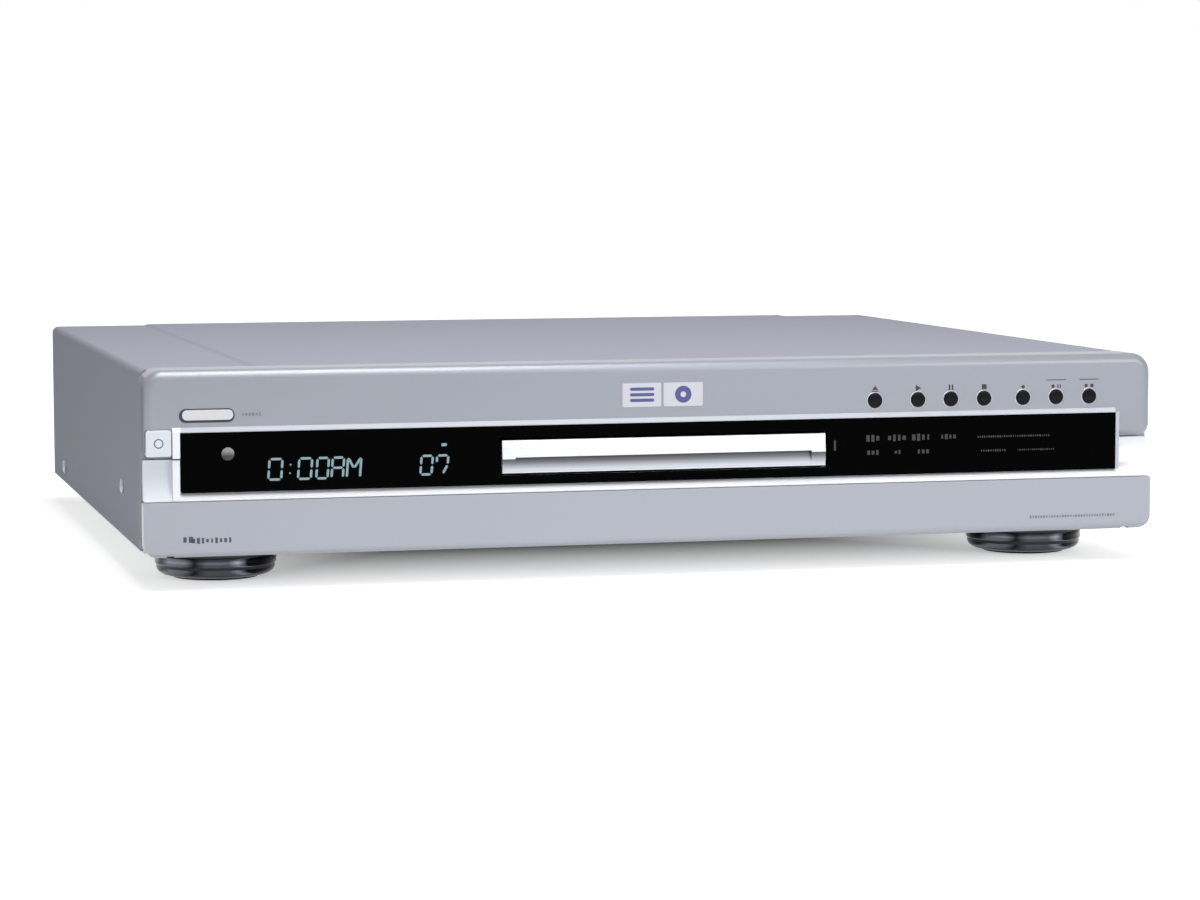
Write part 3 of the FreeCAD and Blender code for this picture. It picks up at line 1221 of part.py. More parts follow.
def s_video_sockets():
    """Three round sockets, each on its own block."""
    back = REAR - SHEET
    sockets = []
    for x, z in s_video_places():
        block = box((x - 7, x + 7), (back - 12, back - LAP), (z - 7.5, z + 7.5))
        block = block.cut(rod("y", (x, z), S_VIDEO_RADIUS, REAR - S_VIDEO_DEPTH, REAR + 1))
        sockets.append(block.fuse(s_video_socket(x, z, REAR, 1)).removeSplitter())
    return Part.makeCompound(sockets)


def tuner_module():
    """Screened tuner can behind the aerial sockets."""
    places = aerial_places()
    x = places[0][0]
    back = REAR - SHEET - LAP
    return box((x - 13, x + 11), (back - TUNER_LENGTH, back), (places[0][1] - 12, places[1][1] + 12))


def aerial_sockets():
    """Two sockets with a hexagon foot and a long collar."""
    sockets = []
    for x, z in aerial_places():
        foot = rod("y", (x, z), AERIAL_RADIUS, REAR - SHEET - LAP, REAR + REAR_REACH)
        nut_radius = AERIAL_NUT_RADIUS
        angles = [math.pi * k / 3 for k in range(6)]
        nut = [(x + nut_radius * math.cos(a), z + nut_radius * math.sin(a)) for a in angles]
        collar = slab("y", REAR + LAP, REAR + AERIAL_NUT_REACH, nut)
        pin_hole = rod("y", (x, z), AERIAL_PIN_HOLE, REAR + 4, REAR + REAR_REACH + 1)
        sockets.append(foot.fuse(collar).cut(pin_hole))
    return Part.makeCompound(sockets)


def ac_inlet():
    """Two-pin mains inlet: a shrouded well with two round pins."""
    x, z = ac_inlet_area()
    body = box(x, (REAR - INLET_BODY, REAR + INLET_PROUD), z)
    mid_x = (x[0] + x[1]) / 2
    mid_z = (z[0] + z[1]) / 2
    half_x, half_z = INLET_WELL_HALF
    well_x = (mid_x - half_x, mid_x + half_x)
    well_z = (mid_z - half_z, mid_z + half_z)
    well = plate("y", REAR - INLET_WELL_DEPTH, REAR + 3, well_x, well_z, INLET_WELL_CORNER)
    pin_x = (mid_x - INLET_PIN_FROM_MIDDLE, mid_x + INLET_PIN_FROM_MIDDLE)
    pins = [rod("y", (at, mid_z), INLET_PIN_RADIUS, REAR - 13, REAR - 2) for at in pin_x]
    return body.cut(well).fuse(pins)


def fan_frame():
    """Square fan housing with a round duct and three arms that hold the motor."""
    x, z = fan_place()
    half = FAN_SIDE / 2
    y = (REAR - SHEET - FAN_DEPTH, REAR - SHEET)
    frame = plate("y", y[0], y[1], (x - half, x + half), (z - half, z + half), 3.0)
    frame = frame.cut(rod("y", (x, z), half - FAN_DUCT_WALL, y[0] - 1, y[1] + 1))
    hub = rod("y", (x, z), FAN_HUB_RADIUS, y[1] - FAN_ARM_BACK, y[1])
    arm_y = (y[1] - FAN_ARM_BACK, y[1] - 0.4)
    arm_half = FAN_ARM_HALF
    arms = [box((x - half + 1, x + half - 1), arm_y, (z - arm_half, z + arm_half))]
    arms.append(box((x - arm_half, x + arm_half), arm_y, (z - half + 1, z + half - 1)))
    pivot = rod("y", (x, z), FAN_PIVOT_RADIUS, y[0] + 2.0, y[1] - 1.0)
    return frame.fuse([hub, pivot] + arms).removeSplitter()


def fan_rotor():
    """Hub with pitched blades."""
    x, z = fan_place()
    y = (REAR - SHEET - FAN_DEPTH + 0.6, REAR - SHEET - 2.5)
    radius = FAN_SIDE / 2 - 2.5
    hub = rod("y", (x, z), FAN_HUB_RADIUS, y[0], y[1])
    blades = []
    depth = y[1] - y[0]
    section = [(0.6, -3.2), (1.6, -3.2), (depth - 0.6, 3.2), (depth - 1.6, 3.2)]
    blade = slab("x", FAN_HUB_RADIUS - 1.0, radius, section)
    for i in range(FAN_BLADES):
        turn = blade.copy()
        turn.rotate(V(0, 0, 0), V(0, 1, 0), 360.0 * i / FAN_BLADES)
        turn.translate(V(x, y[0], z))
        blades.append(turn)
    bore = rod("y", (x, z), FAN_PIVOT_RADIUS + SHAFT_FIT, y[0] - 1, y[1] + 1)
    return hub.fuse(blades).cut(bore)


def top_cover():
    """Folded steel cover: two sides, outer strips, a raised middle and a rear lip."""
    x = COVER_HALF
    low = LOW + COVER_RISE
    strip = COVER_TOP
    pad = COVER_TOP + PAD_RISE
    step = END - PAD_FROM_END
    outer = [
        (-x, low), (-x, strip, COVER_CORNER), (-step - 1, strip, 1.0), (-step + 1, pad, 1.0),
        (step - 1, pad, 1.0), (step + 1, strip, 1.0), (x, strip, COVER_CORNER), (x, low),
    ]
    t = SHEET
    inner = [
        (x - t, low), (x - t, strip - t, COVER_CORNER - t), (step + 1, strip - t), (step - 1, pad - t),
        (-step + 1, pad - t), (-step - 1, strip - t), (-x + t, strip - t, COVER_CORNER - t), (-x + t, low),
    ]
    sheet = slab("y", COVER_FRONT, REAR + SHEET, outer + inner)
    lip = box((-step + 6, step - 6), (REAR, REAR + SHEET), (strip - REAR_LIP, pad - SHEET / 2))
    hole = SCREW_RADIUS + SCREW_HOLE_GAP
    holes = [rod("x", place, hole, -x - 2, x + 2) for place in side_screw_places()]
    holes += [rod("y", place, hole, REAR - 1, REAR + 2) for place in rear_screw_places()]
    return sheet.fuse(lip).cut(holes)


def side_screw_places():
    """Side screws as (Y, Z), alike on both sides."""
    return [(FACE + back, LOW + rise) for back, rise in SIDE_SCREWS]


def rear_screw_places():
    """Rear lip screws as (X, Z)."""
    return [(x, COVER_TOP - REAR_SCREW_DROP) for x in REAR_SCREWS]


def cover_screws():
    """Screws through the cover's sides and rear lip."""
    screws = []
    for y, z in side_screw_places():
        shank = rod("x", (y, z), SCREW_RADIUS, COVER_HALF - SIDE_SHANK, COVER_HALF + SCREW_ROOT)
        head = rod("x", (y, z), SCREW_HEAD_RADIUS, COVER_HALF, END)
        screws += pair(head.fuse(shank))
    for x, z in rear_screw_places():
        shank = rod("y", (x, z), SCREW_RADIUS, REAR + SCREW_ROOT, REAR + SHEET + SCREW_ROOT)
        head = rod("y", (x, z), SCREW_HEAD_RADIUS, REAR + SHEET, REAR + SHEET + REAR_HEAD_THICK)
        screws.append(head.fuse(shank))
    return Part.makeCompound(screws)


def foot_places():
    """Middles of the four feet."""
    front = FACE + FRONT_FOOT_FROM_FACE
    rear = REAR - REAR_FOOT_FROM_REAR
    places = [(FRONT_FOOT_FROM_MIDDLE, front), (REAR_FOOT_FROM_MIDDLE, rear)]
    return [(side * x, y) for side in (-1, 1) for x, y in places]


def feet():
    """Four round feet, drawn in towards the table."""
    r = FOOT_RADIUS - RING_THICK
    toe = r - FOOT_TOE
    profile = [(0, PAD_THICK), (toe, PAD_THICK), (r, FOOT_TOE_DROP), (r, FLOOR_BOTTOM), (0, FLOOR_BOTTOM)]
    return Part.makeCompound([turned(profile, place) for place in foot_places()])


def foot_rings():
    """Bright ring round each foot."""
    r = FOOT_RADIUS
    inner = r - RING_THICK + PINNED
    top = RING_BOTTOM + RING_HEIGHT
    profile = [(inner, RING_BOTTOM), (r, RING_BOTTOM + RING_CHAMFER), (r, top - RING_CHAMFER), (inner, top)]
    return Part.makeCompound([turned(profile, place) for place in foot_places()])


def foot_pads():
    """Soft pad under each foot."""
    pads = [rod("z", place, FOOT_RADIUS - PAD_INSET, 0.0, PAD_THICK) for place in foot_places()]
    return Part.makeCompound(pads)


def standoffs(x, y, top):
    """Four short posts under a board's corners."""
    posts = []
    half = POST_HALF
    for px in (x[0] + POST_IN, x[1] - POST_IN):
        for py in (y[0] + POST_IN, y[1] - POST_IN):
            posts.append(box((px - half, px + half), (py - half, py + half), (FLOOR_SHEET_TOP, top)))
    return posts


def main_board_area():
    """Main board's limits on the chassis."""
    return (DRIVE_HALF + 16, COVER_HALF - 6), (PANEL_BACK + 110, REAR - 14)


def main_board():
    """Large board on the right with its biggest chips, on posts."""
    x, y = main_board_area()
    z = FLOOR_SHEET_TOP + BOARD_RISE
    board = box(x, y, (z, z + BOARD_THICK))
    chips = [
        box((x[0] + 20, x[0] + 48), (y[0] + 30, y[0] + 58), (z + 1.5, z + 4.4)),
        box((x[0] + 62, x[0] + 84), (y[0] + 34, y[0] + 56), (z + 1.5, z + 4.0)),
        box((x[0] + 20, x[0] + 40), (y[0] + 80, y[0] + 92), (z + 1.5, z + 3.6)),
    ]
    return board.fuse(chips + standoffs(x, y, z))


def heat_sink():
    """Finned block on the main processor."""
    x, y = main_board_area()
    z = FLOOR_SHEET_TOP + 11.4
    x0 = x[0] + 19
    y0 = y[0] + 29
    block = box((x0, x0 + 30), (y0, y0 + 30), (z, z + 14))
    gaps = [box((x0 + 3 + 4.2 * i, x0 + 5 + 4.2 * i), (y0 - 1, y0 + 31), (z + 2.5, z + 15)) for i in range(6)]
    return block.cut(gaps)


def power_board_area():
    """Power supply board's limits on the chassis."""
    return (-COVER_HALF + 6, -DRIVE_HALF - 16), (PANEL_BACK + 120, REAR - 20)


def power_supply_board():
    """Power supply board with its heat spreader, on posts."""
    x, y = power_board_area()
    z = FLOOR_SHEET_TOP + BOARD_RISE
    board = box(x, y, (z, z + BOARD_THICK))
    spreader = box((x[0] + 58, x[0] + 60.5), (y[0] + 30, y[0] + 90), (z + 1.5, z + 36))
    return board.fuse([spreader] + standoffs(x, y, z))


def power_transformer():
    """Core and winding of the supply's transformer."""
    x, y = power_board_area()
    z = FLOOR_SHEET_TOP + BOARD_RISE + BOARD_THICK
    x0 = x[0] + 70
    y0 = y[0] + 40
    core = box((x0, x0 + 32), (y0, y0 + 36), (z + 3, z + 11)).fuse(
        box((x0 + 5, x0 + 27), (y0 + 3, y0 + 33), (z, z + 26))
    )
    cap = box((x0, x0 + 32), (y0, y0 + 36), (z + 15, z + 23))
    return core.fuse(cap)


def capacitors():
    """Round capacitors of the power supply."""
    x, y = power_board_area()
    z = FLOOR_SHEET_TOP + BOARD_RISE + BOARD_THICK
    cans = [
        rod("z", (x[0] + 22, y[0] + 50), 11.0, z, z + 32),
        rod("z", (x[0] + 45, y[0] + 110), 6.0, z, z + 20),
        rod("z", (x[0] + 62, y[0] + 110), 6.0, z, z + 20),
        rod("z", (x[0] + 79, y[0] + 110), 6.0, z, z + 20),
    ]
    return Part.makeCompound(cans)


PIECES = {
    "front_panel": front_panel,
    "sill_trim": sill_trim,
    "display_window": display_window,
    "window_surround": window_surround,
    "front_flap": front_flap,
    "flap_hinge_pins": flap_hinge_pins,
    "front_jack_panel": front_jack_panel,
    "front_jacks": front_jacks,
    "tray_front": tray_front,
    "disc_tray": disc_tray,
    "drive_frame": drive_frame,
    "drive_brackets": drive_brackets,
    "loading_motor": loading_motor,
    "motor_pulley": motor_pulley,
    "drive_belt": drive_belt,
    "pulley_gear": pulley_gear,
    "tray_gear": tray_gear,
    "traverse_base": traverse_base,
    "spindle_motor": spindle_motor,
    "turntable": turntable,
    "pickup_sled": pickup_sled,
    "guide_rods": guide_rods,
    "lead_screw": lead_screw,
    "sled_motor": sled_motor,
    "clamp_bridge": clamp_bridge,
    "clamper": clamper,
    "power_button": power_button,
    "front_board": front_board,
    "button_switches": button_switches,
    "display_tube": display_tube,
    "remote_sensor": remote_sensor,
    "bottom_chassis": bottom_chassis,
    "rear_panel": rear_panel,
    "rear_phono_sockets": rear_phono_sockets,
    "s_video_sockets": s_video_sockets,
    "tuner_module": tuner_module,
    "aerial_sockets": aerial_sockets,
    "ac_inlet": ac_inlet,
    "fan_frame": fan_frame,
    "fan_rotor": fan_rotor,
    "top_cover": top_cover,
    "cover_screws": cover_screws,
    "feet": feet,
    "foot_rings": foot_rings,
    "foot_pads": foot_pads,
    "main_board": main_board,
    "heat_sink": heat_sink,
    "power_supply_board": power_supply_board,
    "power_transformer": power_transformer,
    "capacitors": capacitors,
}


def main():
    os.makedirs("parts", exist_ok=True)
    for name, build in PIECES.items():
        build().exportStep("parts/" + name + ".step")
    for name in BUTTONS:
        round_button(name).exportStep("parts/" + name + ".step")


main()
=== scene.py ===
"""Looks of a full-width DVD recorder: finishes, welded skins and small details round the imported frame.

Metres. X runs to the right seen from the front, Y to the back, Z up. Every piece keeps its place in
its own mesh, on an object that stands unturned at the origin.
"""
import json
import math

import bmesh
import bpy
from mathutils import Matrix, Vector

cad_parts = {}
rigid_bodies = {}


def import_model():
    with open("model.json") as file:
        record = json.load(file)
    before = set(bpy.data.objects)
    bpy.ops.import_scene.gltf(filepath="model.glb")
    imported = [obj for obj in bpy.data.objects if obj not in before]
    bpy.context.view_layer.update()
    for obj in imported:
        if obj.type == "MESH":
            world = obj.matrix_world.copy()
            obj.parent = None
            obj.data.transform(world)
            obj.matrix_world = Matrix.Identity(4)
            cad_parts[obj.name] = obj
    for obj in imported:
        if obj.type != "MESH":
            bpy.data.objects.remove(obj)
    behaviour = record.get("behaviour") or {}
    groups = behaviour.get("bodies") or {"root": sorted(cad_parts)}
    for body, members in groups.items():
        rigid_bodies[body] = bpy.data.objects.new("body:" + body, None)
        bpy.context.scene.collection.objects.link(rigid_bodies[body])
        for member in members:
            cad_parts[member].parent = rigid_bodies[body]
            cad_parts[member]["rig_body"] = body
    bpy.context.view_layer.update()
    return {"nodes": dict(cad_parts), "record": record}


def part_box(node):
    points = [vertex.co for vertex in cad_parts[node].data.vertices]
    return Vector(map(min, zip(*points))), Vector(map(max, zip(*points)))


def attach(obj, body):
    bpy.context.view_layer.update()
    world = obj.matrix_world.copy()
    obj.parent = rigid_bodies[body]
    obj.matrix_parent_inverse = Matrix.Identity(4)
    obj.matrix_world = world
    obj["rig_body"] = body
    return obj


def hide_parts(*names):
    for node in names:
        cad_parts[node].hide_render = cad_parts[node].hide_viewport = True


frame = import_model()

bl_info = {
    "name": "DVD Recorder",
    "version": (1, 0, 0),
    "blender": (4, 5, 0),
    "location": "View3D > Sidebar > Recorder",
    "description": "Finishes and fine detail of a full-width DVD recorder",
    "category": "Object",
}

MM = 0.001
WELD = 0.002 * MM  # vertices this close are one
FLAT = math.radians(0.4)  # faces that differ less are one flat face
SOFT_ANGLE = math.radians(32)  # flatter edges are shaded round

# Places read from the frame
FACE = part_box("front_flap")[0].y
PANEL_LOW, PANEL_TOP = (corner.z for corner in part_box("front_panel"))
PANEL_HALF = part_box("front_panel")[1].x
WINDOW_LOW, WINDOW_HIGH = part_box("display_window")
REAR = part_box("rear_panel")[1].y
COVER_LOW, COVER_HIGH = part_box("top_cover")
TABLE = 0.0


def linear(code):
    """Linear RGBA of an sRGB hex colour."""
    channels = [int(code[i:i + 2], 16) / 255 for i in (1, 3, 5)]
    return [c / 12.92 if c <= 0.04045 else ((c + 0.055) / 1.055) ** 2.4 for c in channels] + [1.0]


def colour(name, code, text):
    """Colour property whose default is an sRGB hex value."""
    return bpy.props.FloatVectorProperty(
        name=name, description=text, default=linear(code), size=4, subtype="COLOR", min=0.0, max=1.0
    )


def length(name, millimetres, text):
    """Length property whose default is given in millimetres."""
    return bpy.props.FloatProperty(
        name=name, description=text, default=millimetres * MM, unit="LENGTH", precision=5, min=0.0
    )


class RecorderFinishes(bpy.types.PropertyGroup):
    """Colours of the recorder's finishes."""

    front_paint: colour("Front paint", "#9B9FA9", "Silver lacquer on the front panel")
    # The ends take their own lighter copy of the front's lacquer: painted light on the panel's ends.
    end_paint: colour("End paint", "#B2B6C2", "Overspray on the panel's ends")
    # The flap's lacquer is the front's, painted lighter for the light the table throws up onto it.
    flap_paint: colour("Flap paint", "#A8ACB6", "Silver lacquer on the flap, a little lighter")
    cover_paint: colour("Cover paint", "#B0B2C1", "Silver paint on the steel cover")
    light_trim: colour("Light trim", "#F8FAFF", "Sill bar and button rings")
    # Power trim is the power button's own colour; on the sill's left end the same darker foil is painted shade.
    power_trim: colour("Power trim", "#E6EAF3", "Power button")
    # The window trim is the light trim's foil painted darker for the shade on the rest of the trim.
    window_trim: colour("Window trim", "#C5C9D2", "Trim round the window")
    tray_face: colour("Tray face", "#EEF0F4", "Bar on the end of the disc tray")
    window: colour("Window", "#010102", "Back-painted acrylic window")
    button: colour("Button", "#0B0C13", "Round buttons")
    # The foot colour is also the dark end, and the foot ring colour the pale end, of the reflections painted on the
    # feet's chrome.
    foot: colour("Foot", "#0A0B10", "Moulded feet")
    ring: colour("Foot ring", "#8A8A97", "Smoked chrome round the feet")
    moulding: colour("Black moulding", "#16171A", "Socket blocks, drive and fan")
    grey_moulding: colour("Grey moulding", "#5B5E63", "Switches and small inner mouldings")
    gear: colour("Gear plastic", "#E4DFD0", "Natural gears, pulleys and clamper")
    sheet: colour("Plated sheet", "#A8AAAC", "Zinc-plated chassis and rear panel")
    nickel: colour("Nickel", "#C6C3BC", "Plated sockets and screws")
    rubber: colour("Rubber", "#101011", "Belt and foot pads")
    board: colour("Circuit board", "#0F4A2A", "Solder mask")
    copper: colour("Copper", "#B9774A", "Windings and bare copper")
    glass: colour("Glass", "#DDEDE8", "Display tube")
    glow: colour("Glow", "#8CA6B0", "Lit figures of the display")
    print_grey: colour("Window print", "#28292D", "Grey print on the window")
    print_dark: colour("Panel print", "#2E3240", "Dark print on the silver front")
    print_flap: colour("Flap print", "#4E5261", "Print at the left of the flap")
    print_pale: colour("Pale print", "#7C8092", "Faint print on the silver front")
    plate: colour("Plate", "#F0F1FC", "Small light plates on the front")
    plate_mark: colour("Plate mark", "#5F63A0", "Marks on the light plates")
    pill: colour("Pill plate", "#FCFCFF", "White plate with round ends")
    ring_yellow: colour("Yellow", "#DDB021", "Picture sockets")
    ring_white: colour("White", "#E6E4DC", "Left sound sockets")
    ring_red: colour("Red", "#AE2420", "Right sound sockets")


class RecorderSizes(bpy.types.PropertyGroup):
    """Sizes of the details that the finishes add."""

    mould_round: length("Moulded edge", 0.25, "Round on the edges of the moulded front")
    sheet_round: length("Sheet edge", 0.12, "Round on the edges of folded sheet")
    part_round: length("Part edge", 0.18, "Round on the edges of small inner parts")
    print_thick: length("Print", 0.04, "Thickness of printed and lit marks")
    plate_thick: length("Plate", 0.25, "Thickness of the small light plates")
    surround: length("Button surround", 0.45, "Width of the chamfered ring round each button")
    lip: length("Sill lip", 0.35, "How far the sill's lip reaches down to the flap")
    lip_back: length("Lip depth", 0.7, "How far the sill's lip stands back from the face")
    sign: length("Button sign", 1.35, "Half the height of the sign over a button")
    digit_height: length("Digit height", 8.2, "Height of the display's figures")
    digit_bar: length("Digit bar", 0.95, "Width of one bar of a figure")


class RecorderStage(bpy.types.PropertyGroup):
    """Light and view."""

    over_power: bpy.props.FloatProperty(
        name="Overhead light", default=5.8, unit="POWER", description="Wide soft light straight above"
    )
    near_power: bpy.props.FloatProperty(
        name="Upper front light", default=2.6, unit="POWER", description="Soft light above the front edge"
    )
    side_power: bpy.props.FloatProperty(
        name="Side light", default=6.7, unit="POWER", description="Soft light at the right front"
    )
    room: bpy.props.FloatProperty(name="Room light", default=0.1, description="Even light from all round")
    behind: bpy.props.FloatProperty(
        name="Light from behind", default=0.0, description="Light of the room that grows towards the back"
    )
    tilt: bpy.props.FloatProperty(
        name="Tilt", default=0.08, description="How much more the room lights from the right than from the left"
    )


def add(tree, kind, inputs=None, **settings):
    """Adds a node with its settings; inputs maps an input's name to a value or to the output that feeds it."""
    node = tree.nodes.new(kind)
    for key, value in settings.items():
        setattr(node, key, value)
    for key, value in (inputs or {}).items():
        if isinstance(value, bpy.types.NodeSocket):
            tree.links.new(value, node.inputs[key])
        else:
            node.inputs[key].default_value = value
    return node


def fresh(name):
    """A material by that name with an empty tree but for its shader and output."""
    made = bpy.data.materials.get(name) or bpy.data.materials.new(name)
    made.use_nodes = True
    tree = made.node_tree
    tree.nodes.clear()
    shader = add(tree, "ShaderNodeBsdfPrincipled")
    add(tree, "ShaderNodeOutputMaterial", {"Surface": shader.outputs["BSDF"]})
    return made, tree, shader


def grain(tree, size, stretch=(1.0, 1.0, 1.0), detail=2.0):
    """Noise on Object coordinates with cells of about size metres, drawn out by stretch along each axis."""
    place = add(tree, "ShaderNodeTexCoord").outputs["Object"]
    scale = [1.0 / (size * s) for s in stretch]
    laid = add(tree, "ShaderNodeMapping", {"Vector": place, "Scale": scale})
    noise = add(tree, "ShaderNodeTexNoise", {"Vector": laid.outputs["Vector"], "Scale": 1.0, "Detail": detail})
    return noise.outputs["Fac"]


def worked(name, base, roughness, size, spread, depth, stretch=(1.0, 1.0, 1.0), sockets=None):
    """Surface whose shade, roughness and height follow one grain.

    size is the grain's width in metres, spread how far the shade strays, depth the height in metres.
    """
    made, tree, shader = fresh(name)
    fine = grain(tree, size, stretch)
    shade = add(tree, "ShaderNodeMapRange", {"Value": fine, "To Min": 1 - spread, "To Max": 1 + spread})
    tint = add(tree, "ShaderNodeHueSaturation", {"Value": shade.outputs["Result"], "Color": list(base)})
    low, high = roughness * (1 - 2 * spread), roughness * (1 + 2 * spread)
    rough = add(tree, "ShaderNodeMapRange", {"Value": fine, "To Min": low, "To Max": high})
    relief = add(tree, "ShaderNodeBump", {"Height": fine, "Distance": depth, "Strength": 1.0})
    tree.links.new(tint.outputs["Color"], shader.inputs["Base Color"])
    tree.links.new(rough.outputs["Result"], shader.inputs["Roughness"])
    tree.links.new(relief.outputs["Normal"], shader.inputs["Normal"])
    for key, value in (sockets or {}).items():
        shader.inputs[key].default_value = value
    return made


def finishes():
    """The scene's finish colours."""
    return bpy.context.scene.recorder_finishes


def sizes():
    """The scene's detail sizes."""
    return bpy.context.scene.recorder_sizes


def silver_lacquer(name="silver_lacquer_on_panel", base=None):
    """Silver lacquer sprayed on moulded ABS: metal flakes give a wide, soft highlight and a faint sparkle."""
    return worked(
        name, base or finishes().front_paint, 0.42, 0.7 * MM, 0.02, 0.004 * MM,
        sockets={"Metallic": 0.45, "Coat Weight": 0.3, "Coat Roughness": 0.2},
    )


def end_lacquer():
    """The same lacquer on the panel's ends, dull and with hardly any flake; its colour is painted lighter than the
    front's to set how the light falls on the ends.
    """
    return worked(
        "silver_overspray_on_ends", finishes().end_paint, 0.6, 0.7 * MM, 0.02, 0.006 * MM,
        sockets={"Metallic": 0.04, "Specular IOR Level": 0.08},
    )


def cover_paint():
    """Silver paint rolled on steel sheet: a fine orange peel that breaks up the light a little."""
    return worked(
        "silver_paint_on_steel", finishes().cover_paint, 0.6, 1.2 * MM, 0.015, 0.012 * MM,
        sockets={"Metallic": 0.04, "Specular IOR Level": 0.08},
    )


def light_trim(name="satin_foil_on_abs", base=None):
    """Bright satin foil on ABS: nearly white, with faint lines drawn along its length."""
    return worked(
        name, base or finishes().light_trim, 0.34, 0.25 * MM, 0.02, 0.002 * MM,
        stretch=(60.0, 1.0, 1.0), sockets={"Metallic": 0.3},
    )


def tray_face():
    """Brushed bright aluminium foil: white where it meets the light, with hair-fine lines along the bar."""
    return worked(
        "brushed_foil_on_tray", finishes().tray_face, 0.28, 0.2 * MM, 0.03, 0.003 * MM,
        stretch=(80.0, 1.0, 1.0), sockets={"Metallic": 0.55},
    )


def ramp(tree, value, stops):
    """Colour that runs through (place, sRGB hex) stops as value goes from 0 to 1."""
    node = add(tree, "ShaderNodeValToRGB", {"Fac": value})
    elements = node.color_ramp.elements
    for place, _ in stops[1:-1]:
        elements.new(place)
    for element, (_, code) in zip(elements, stops):
        element.color = linear(code)
    return node.outputs["Color"]


def height_ramp(tree, low, high, stops):
    """Colour that runs through the stops as the height in the frame goes from low to high."""
    place = add(tree, "ShaderNodeSeparateXYZ", {"Vector": add(tree, "ShaderNodeTexCoord").outputs["Object"]})
    rise = add(tree, "ShaderNodeMapRange", {"Value": place.outputs["Z"], "From Min": low, "From Max": high})
    return ramp(tree, rise.outputs["Result"], stops)


def scoop_face(low, high):
    """The same foil in the finger scoop with painted shade: its colour runs to a dark grey under the ledge and back to
    a light grey towards its sill.
    """
    made, tree, shader = fresh("brushed_foil_in_scoop")
    # Painted shade: the colour darkens from the sill up to the ledge, where the ledge's shadow falls.
    painted_shading = height_ramp(tree, low, high, ((0.0, "#D6D9E3"), (0.55, "#77777F"), (1.0, "#2C2C36")))
    brushed = grain(tree, 0.2 * MM, (80.0, 1.0, 1.0))
    relief = add(tree, "ShaderNodeBump", {"Height": brushed, "Distance": 0.003 * MM})
    tree.links.new(painted_shading, shader.inputs["Base Color"])
    tree.links.new(relief.outputs["Normal"], shader.inputs["Normal"])
    shader.inputs["Metallic"].default_value = 0.3
    shader.inputs["Roughness"].default_value = 0.4
    return made


def acrylic():
    """Back-painted acrylic: deep black with a thin clear gloss; fine dust keeps it from being perfect."""
    return worked(
        "back_painted_acrylic", finishes().window, 0.07, 3.0 * MM, 0.06, 0.0,
        sockets={"IOR": 1.49, "Specular IOR Level": 0.015},
    )


def gloss_moulding():
    """High-gloss ABS from a polished mould: small sharp highlights on near black."""
    return worked(
        "gloss_abs_buttons", finishes().button, 0.2, 2.0 * MM, 0.05, 0.001 * MM,
        sockets={"IOR": 1.53, "Specular IOR Level": 0.12},
    )


def foot_moulding():
    """Gloss ABS foot: near black with a soft bright patch where it bends to the light."""
    return worked("gloss_abs_feet", finishes().foot, 0.22, 1.5 * MM, 0.05, 0.002 * MM,
        sockets={"IOR": 1.53, "Specular IOR Level": 0.35},
    )


def black_moulding():
    """Spark-eroded black ABS: a dull, finely pitted skin."""
    return worked("textured_black_abs", finishes().moulding, 0.55, 0.35 * MM, 0.06, 0.01 * MM)


def grey_moulding():
    """Textured grey PBT: a dull, finely pitted skin."""
    return worked("textured_grey_pbt", finishes().grey_moulding, 0.5, 0.35 * MM, 0.05, 0.008 * MM)


def gear_plastic():
    """Natural acetal: waxy and off-white, and light goes a little way in."""
    return worked(
        "natural_acetal", finishes().gear, 0.38, 0.8 * MM, 0.02, 0.003 * MM,
        sockets={"Subsurface Weight": 0.15, "Subsurface Scale": 1.0 * MM},
    )


def plated_sheet():
    """Zinc-plated steel sheet: grey with a fine rolled grain along its length."""
    return worked(
        "zinc_plated_sheet", finishes().sheet, 0.42, 0.4 * MM, 0.05, 0.003 * MM,
        stretch=(12.0, 1.0, 1.0), sockets={"Metallic": 0.85},
    )


def nickel():
    """Nickel plate on turned brass: bright, with faint tool marks."""
    return worked(
        "nickel_plate", finishes().nickel, 0.2, 0.25 * MM, 0.03, 0.002 * MM,
        stretch=(1.0, 8.0, 1.0), sockets={"Metallic": 1.0},
    )


def screw_plating():
    """Painted and plated screw heads: silver like the cover, with a little more shine."""
    return worked("painted_screw_heads", finishes().cover_paint, 0.35, 0.5 * MM, 0.03, 0.003 * MM, sockets={"Metallic": 0.6})


# Painted reflections: the chrome's colour by which way its surface turns, from dark to pale and back.
PAINTED_REFLECTION_BANDS = (
    (0.0, "#000000"), (0.09, "#202020"), (0.16, "#D8D8D8"), (0.3, "#C0C0C0"), (0.38, "#303030"), (0.48, "#A4A4A4"),
    (0.66, "#9C9C9C"), (0.73, "#FFFFFF"), (0.8, "#181818"), (1.0, "#000000"),
)


